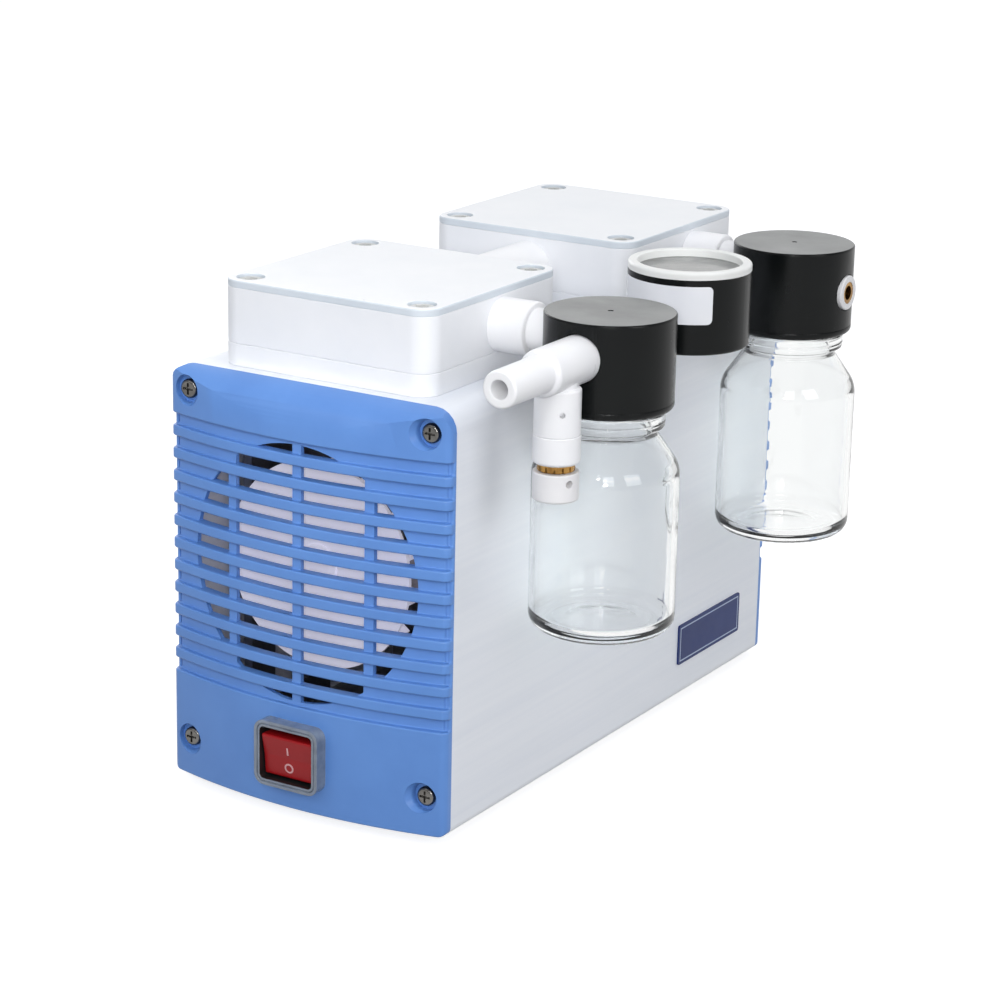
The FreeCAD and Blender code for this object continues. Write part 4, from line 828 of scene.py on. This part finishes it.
def make_switch_marks(x, z):
    """The I on the upper half and the O on the lower half, printed a hair proud of the rocker."""
    line = local_block((-0.35, 0.35), (-7.86, -7.4), (1.6, 4.8))
    ring_profile = [(1.4, -0.22), (2.05, -0.22), (2.05, 0.22), (1.4, 0.22)]
    ring = turned("ring", at(0, -7.71, -4.2), ring_profile, "Y", 48, True)
    marks = joined("switch_marks", [line, ring])
    on_rocker(marks, x, z)
    dress(marks, "mark_white")
    added(marks, "rocker")


def make_tee():
    """Hose nozzle and its tee body, with the branch that hangs from a collar under it."""
    bore_r, nozzle_r, body_r, branch_r, collar_r = 3.6, 7.2, 9.2, 8.9, 7.5
    body = turned("tee_body", at(bottle_x, -149.537, tee_z),
                  [(bore_r, 0, 0.4), (nozzle_r, 0, 1.2), (7.3, 27.6, 0.8), (body_r, 28.4, 1.5),
                   (body_r, 56.6), (7.0, 56.6), (7.0, 62.5), (bore_r, 62.5)], "Y", 96, True)
    branch = turned("branch", at(bottle_x, branch_y, 166),
                    [(bore_r, 0), (branch_r, 0, 0.5), (branch_r, 17.6, 0.9), (collar_r, 18.0),
                     (collar_r, 21.0), (bore_r, 21.0)], "Z", 96, True)
    boolean(body, branch, "UNION")
    hole_turn = math.radians(-47)
    hole_out = Vector((math.cos(hole_turn), math.sin(hole_turn), 0))
    boolean(body, rod("bleed_hole", at(bottle_x, branch_y, 175) + hole_out * 5 * mm, hole_out, 8, 1.1, 32))
    boolean(body, rod("way_down", at(bottle_x, branch_y, 160), (0, 0, 1), 31, bore_r, 48))
    body.name = body.data.name = "tee"
    dress(body, "white_fitting")
    smooth(body, 35)
    stand_for(body, "white_fitting", "inlet_tee")


def make_seat():
    """Brass seat of the bleed knob with its bleed slots round the edge."""
    low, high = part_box("regulator_seat")
    radius = (high.x - low.x) / 2 / mm
    seat = copied("bleed_seat", "regulator_seat")
    slots = []
    count, half_w, slot_depth = 14, 0.35, 0.5
    for i in range(count):
        slot = local_block((-half_w, half_w), (radius - slot_depth, radius + 1), (151.2, 154.4))
        slot.rotation_euler.z = 2 * math.pi * i / count
        slot.location = at(bottle_x, branch_y, 0)
        slots.append(settle(slot))
    boolean(seat, joined("slots", slots))
    dress(seat, "brass")
    smooth(seat)
    stand_for(seat, "brass", "regulator_seat")


def make_fan_cap():
    """Domed cap pressed over the fan's hub."""
    fan_face_y = -122.46
    height, radius = 1.6, 8.6
    cap = turned("fan_cap", at(middle_x, fan_face_y - height, shaft_z),
                 [(0, 0), (5.5, 0.15, 2), (radius, 0.9, 0.5), (radius, height)], "Y", 64)
    # the fan cap shares the fan's painted glow
    dress(cap, "fan_plastic")
    smooth(cap)
    added(cap, "rotor")


def make_switch():
    """Smoky frame whose pocket walls are painted black as painted shade, and a glossy rocker with I and O in
    its two halves.
    """
    x, z = middle_x, switch_z
    half_w, half_h = 15, 13.5
    front_y, back_y = joint_y - 18.6, joint_y - 12.2
    bezel = block("switch_frame", at(x - half_w, front_y, z - half_h), at(x + half_w, back_y, z + half_h))
    edit(bezel)
    pick(bezel, "EDGE", lambda e: abs((e.verts[0].co - e.verts[1].co).normalized().y) > 0.9)
    bpy.ops.mesh.bevel(offset=4.5 * mm, segments=7)
    pick(bezel, "FACE", lambda f: f.normal.y < -0.9)
    stepped([(1.0, 0), (0.35, 0.4), (0.35, -0.3), (1.1, 17.4)])  # groove round the lip, then the pocket
    pick(bezel, "FACE", lambda f: f.normal.y > 0.9 and f.calc_center_median().y > (back_y - 0.1) * mm)
    stepped([(2.6, 15)])  # back of the switch, through the cover
    leave_edit()
    dress(bezel, "bezel", "black_plastic")
    # pocket walls take black_plastic: painted shade in the gap round the rocker
    for face in bezel.data.polygons:
        out = face.center - at(x, joint_y, z)
        pocket_painted_shade = out.y > -17.9 * mm and abs(out.x) < 12.3 * mm and abs(out.z) < 10.8 * mm
        face.material_index = int(pocket_painted_shade)
    rounded(bezel, 0.3, 3)
    stand_for(bezel, "bezel", "switch_bezel")

    width = 23.8
    side = [(-8.025, 9, 0.9), (2.5, 7), (2.5, -7), (-8.025, -9, 0.9), (-7.5, 0, 9)]
    rocker = prism("rocker", side, "X", width)
    rocker.location.x = -width / 2 * mm
    settle(rocker)
    on_rocker(rocker, x, z)
    dress(rocker, "red_rocker")
    rounded(rocker, 0.7, 4)
    stand_for(rocker, "red_rocker", "switch_rocker")
    make_switch_marks(x, z)


def gauge_arc(angle, radius, z):
    """A point on the dial; 0 is at the right, angles run anticlockwise as seen from above."""
    a = math.radians(angle)
    return at(bottle_x + radius * math.cos(a), gauge_y + radius * math.sin(a), z)


def make_dial():
    """Printed dial: fifty divisions, a thicker one at each fifth, plain numbers inside them."""
    face_z = 201.3
    first, sweep, divisions = 225, 270, 50
    marks = []
    for i in range(divisions + 1):
        angle = first - sweep * i / divisions
        long = i % 5 == 0
        inner, outer = (15.6, 19.6) if long else (17.6, 19.6)
        half = 0.28 if long else 0.12
        bpy.ops.mesh.primitive_cube_add(size=1, scale=((outer - inner) * mm, 2 * half * mm, 0.06 * mm))
        tick = made(f"tick_{i}")
        tick.rotation_euler.z = math.radians(angle)
        tick.location = gauge_arc(angle, (inner + outer) / 2, face_z + 0.03)
        marks.append(settle(tick))
    for i in range(6):
        bpy.ops.object.text_add()
        number = made(f"number_{i}")
        number.data.body = str(2 * i)
        number.data.size = 4.2 * mm
        number.data.align_x = "CENTER"
        number.data.align_y = "CENTER"
        number.data.extrude = 0.03 * mm
        activate(number)
        bpy.ops.object.convert(target="MESH")
        number = bpy.context.object
        number.location = gauge_arc(first - sweep / 5 * i, 12.4, face_z + 0.03)
        marks.append(settle(number))
    dial = joined("gauge_marks", marks)
    edit(dial)
    bpy.ops.mesh.select_all(action="SELECT")
    bpy.ops.mesh.remove_doubles(threshold=0.001 * mm)
    leave_edit()
    dress(dial, "dial_ink")
    added(dial, "housing")


def make_label():
    """Bare white film label wrapped round the gauge's body."""
    radius = 24.5
    span = math.radians(117)
    width = radius * span
    height = 15
    middle_z = 201
    turn = math.radians(-8.5)
    strips = 48
    bpy.ops.mesh.primitive_plane_add(size=1)
    label = made("gauge_label")
    label.scale = (width * mm, height * mm, 1)
    settle(label)
    edit(label)
    bpy.ops.mesh.select_all(action="SELECT")
    bpy.ops.mesh.bevel(offset=2 * mm, segments=5, affect="VERTICES")
    for i in range(1, strips):
        bpy.ops.mesh.select_all(action="SELECT")
        bpy.ops.mesh.bisect(plane_co=((i / strips - 0.5) * width * mm, 0, 0), plane_no=(1, 0, 0))
    bpy.ops.mesh.select_all(action="SELECT")
    bpy.ops.transform.rotate(value=math.pi / 2, orient_axis="X", center_override=(0, 0, 0))
    leave_edit()
    modify(label, "SOLIDIFY", thickness=0.2 * mm, offset=0)
    modify(label, "SIMPLE_DEFORM", deform_method="BEND", deform_axis="Z", angle=span)
    label.location.y = -radius * mm
    settle(label)
    label.rotation_euler.z = turn
    label.location = at(bottle_x, gauge_y, middle_z)
    settle(label)
    dress(label, "label_film")
    smooth(label, 40)
    added(label, "housing")


def make_nameplate():
    """Bare plate with a light border line printed inside its edge."""
    margin, line = 1.3, 0.55
    low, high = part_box("nameplate")
    plate = block("name_plate", low, high)
    edit(plate)
    pick(plate, "FACE", lambda f: f.normal.x > 0.9)
    stepped([(margin, 0), (line, 0)])
    pick(plate, "EDGE", lambda e: abs((e.verts[0].co - e.verts[1].co).normalized().x) > 0.9)
    bpy.ops.mesh.bevel(offset=1.0 * mm, segments=5)
    leave_edit()
    dress(plate, "navy_plate", "plate_edge")
    middle = (low + high) / 2
    half = (high - low) / 2
    for face in plate.data.polygons:
        reach = min(half.y - abs(face.center.y - middle.y), half.z - abs(face.center.z - middle.z))
        face.material_index = int(face.normal.x > 0.9 and margin * mm < reach < (margin + line + 0.05) * mm)
    smooth(plate)
    stand_for(plate, "navy_plate", "nameplate")


make_covers()
make_tee()
for end in ("front", "rear"):
    softened("head_block_" + end, "white_head", 0.4, ["white_head"])
    softened("lower_housing_" + end, "white_head", 0.5, ["white_head"])
    softened("side_connector_" + end, "white_fitting", 0.3, ["white_fitting"])
    make_lid(end)
for side, y in (("inlet", inlet_y), ("outlet", outlet_y)):
    make_bottle(side, y)
    make_cap(side, y)
make_seat()
make_fan_cap()
make_switch()
make_nameplate()
make_dial()
make_label()

set_camera()
bpy.context.scene.view_settings.view_transform = "Standard"
studio_world()
pump_middle = (0, 0, 0.1)
# Place, target, size and power of each soft box: by the lens, front, bottle side, front left, top, back
for lamp in (((0.60, -1.04, 0.47), (-0.02, -0.05, 0.1), 0.14, 3.6),
             ((0.86, -1.26, 0.70), pump_middle, 0.45, 2.4),
             ((1.35, -0.40, 0.70), pump_middle, 0.6, 4.2),
             ((-0.55, -1.25, 0.95), pump_middle, 0.6, 1.5),
             ((0.1, 0.2, 1.6), pump_middle, 1.2, 5.0),
             ((-1.2, 0.7, 0.6), pump_middle, 0.8, 3.2)):
    soft_box(*lamp)
spot((0.35, -1.2, 0.95), (-0.03, -0.14, 0.160), cone=11, power=24)

clear_selection()
bpy.ops.mesh.primitive_plane_add(size=8)
floor = made("floor")
dress(floor, "floor")

for name, node in nodes.items():
    for i, material in enumerate(node.data.materials):
        # the lid screws take the light non-metal finish, a painted reflection, in place of steel_screw
        node.data.materials[i] = finish["lid_screw_painted_reflection" if name == "lid_screws" else material.name]
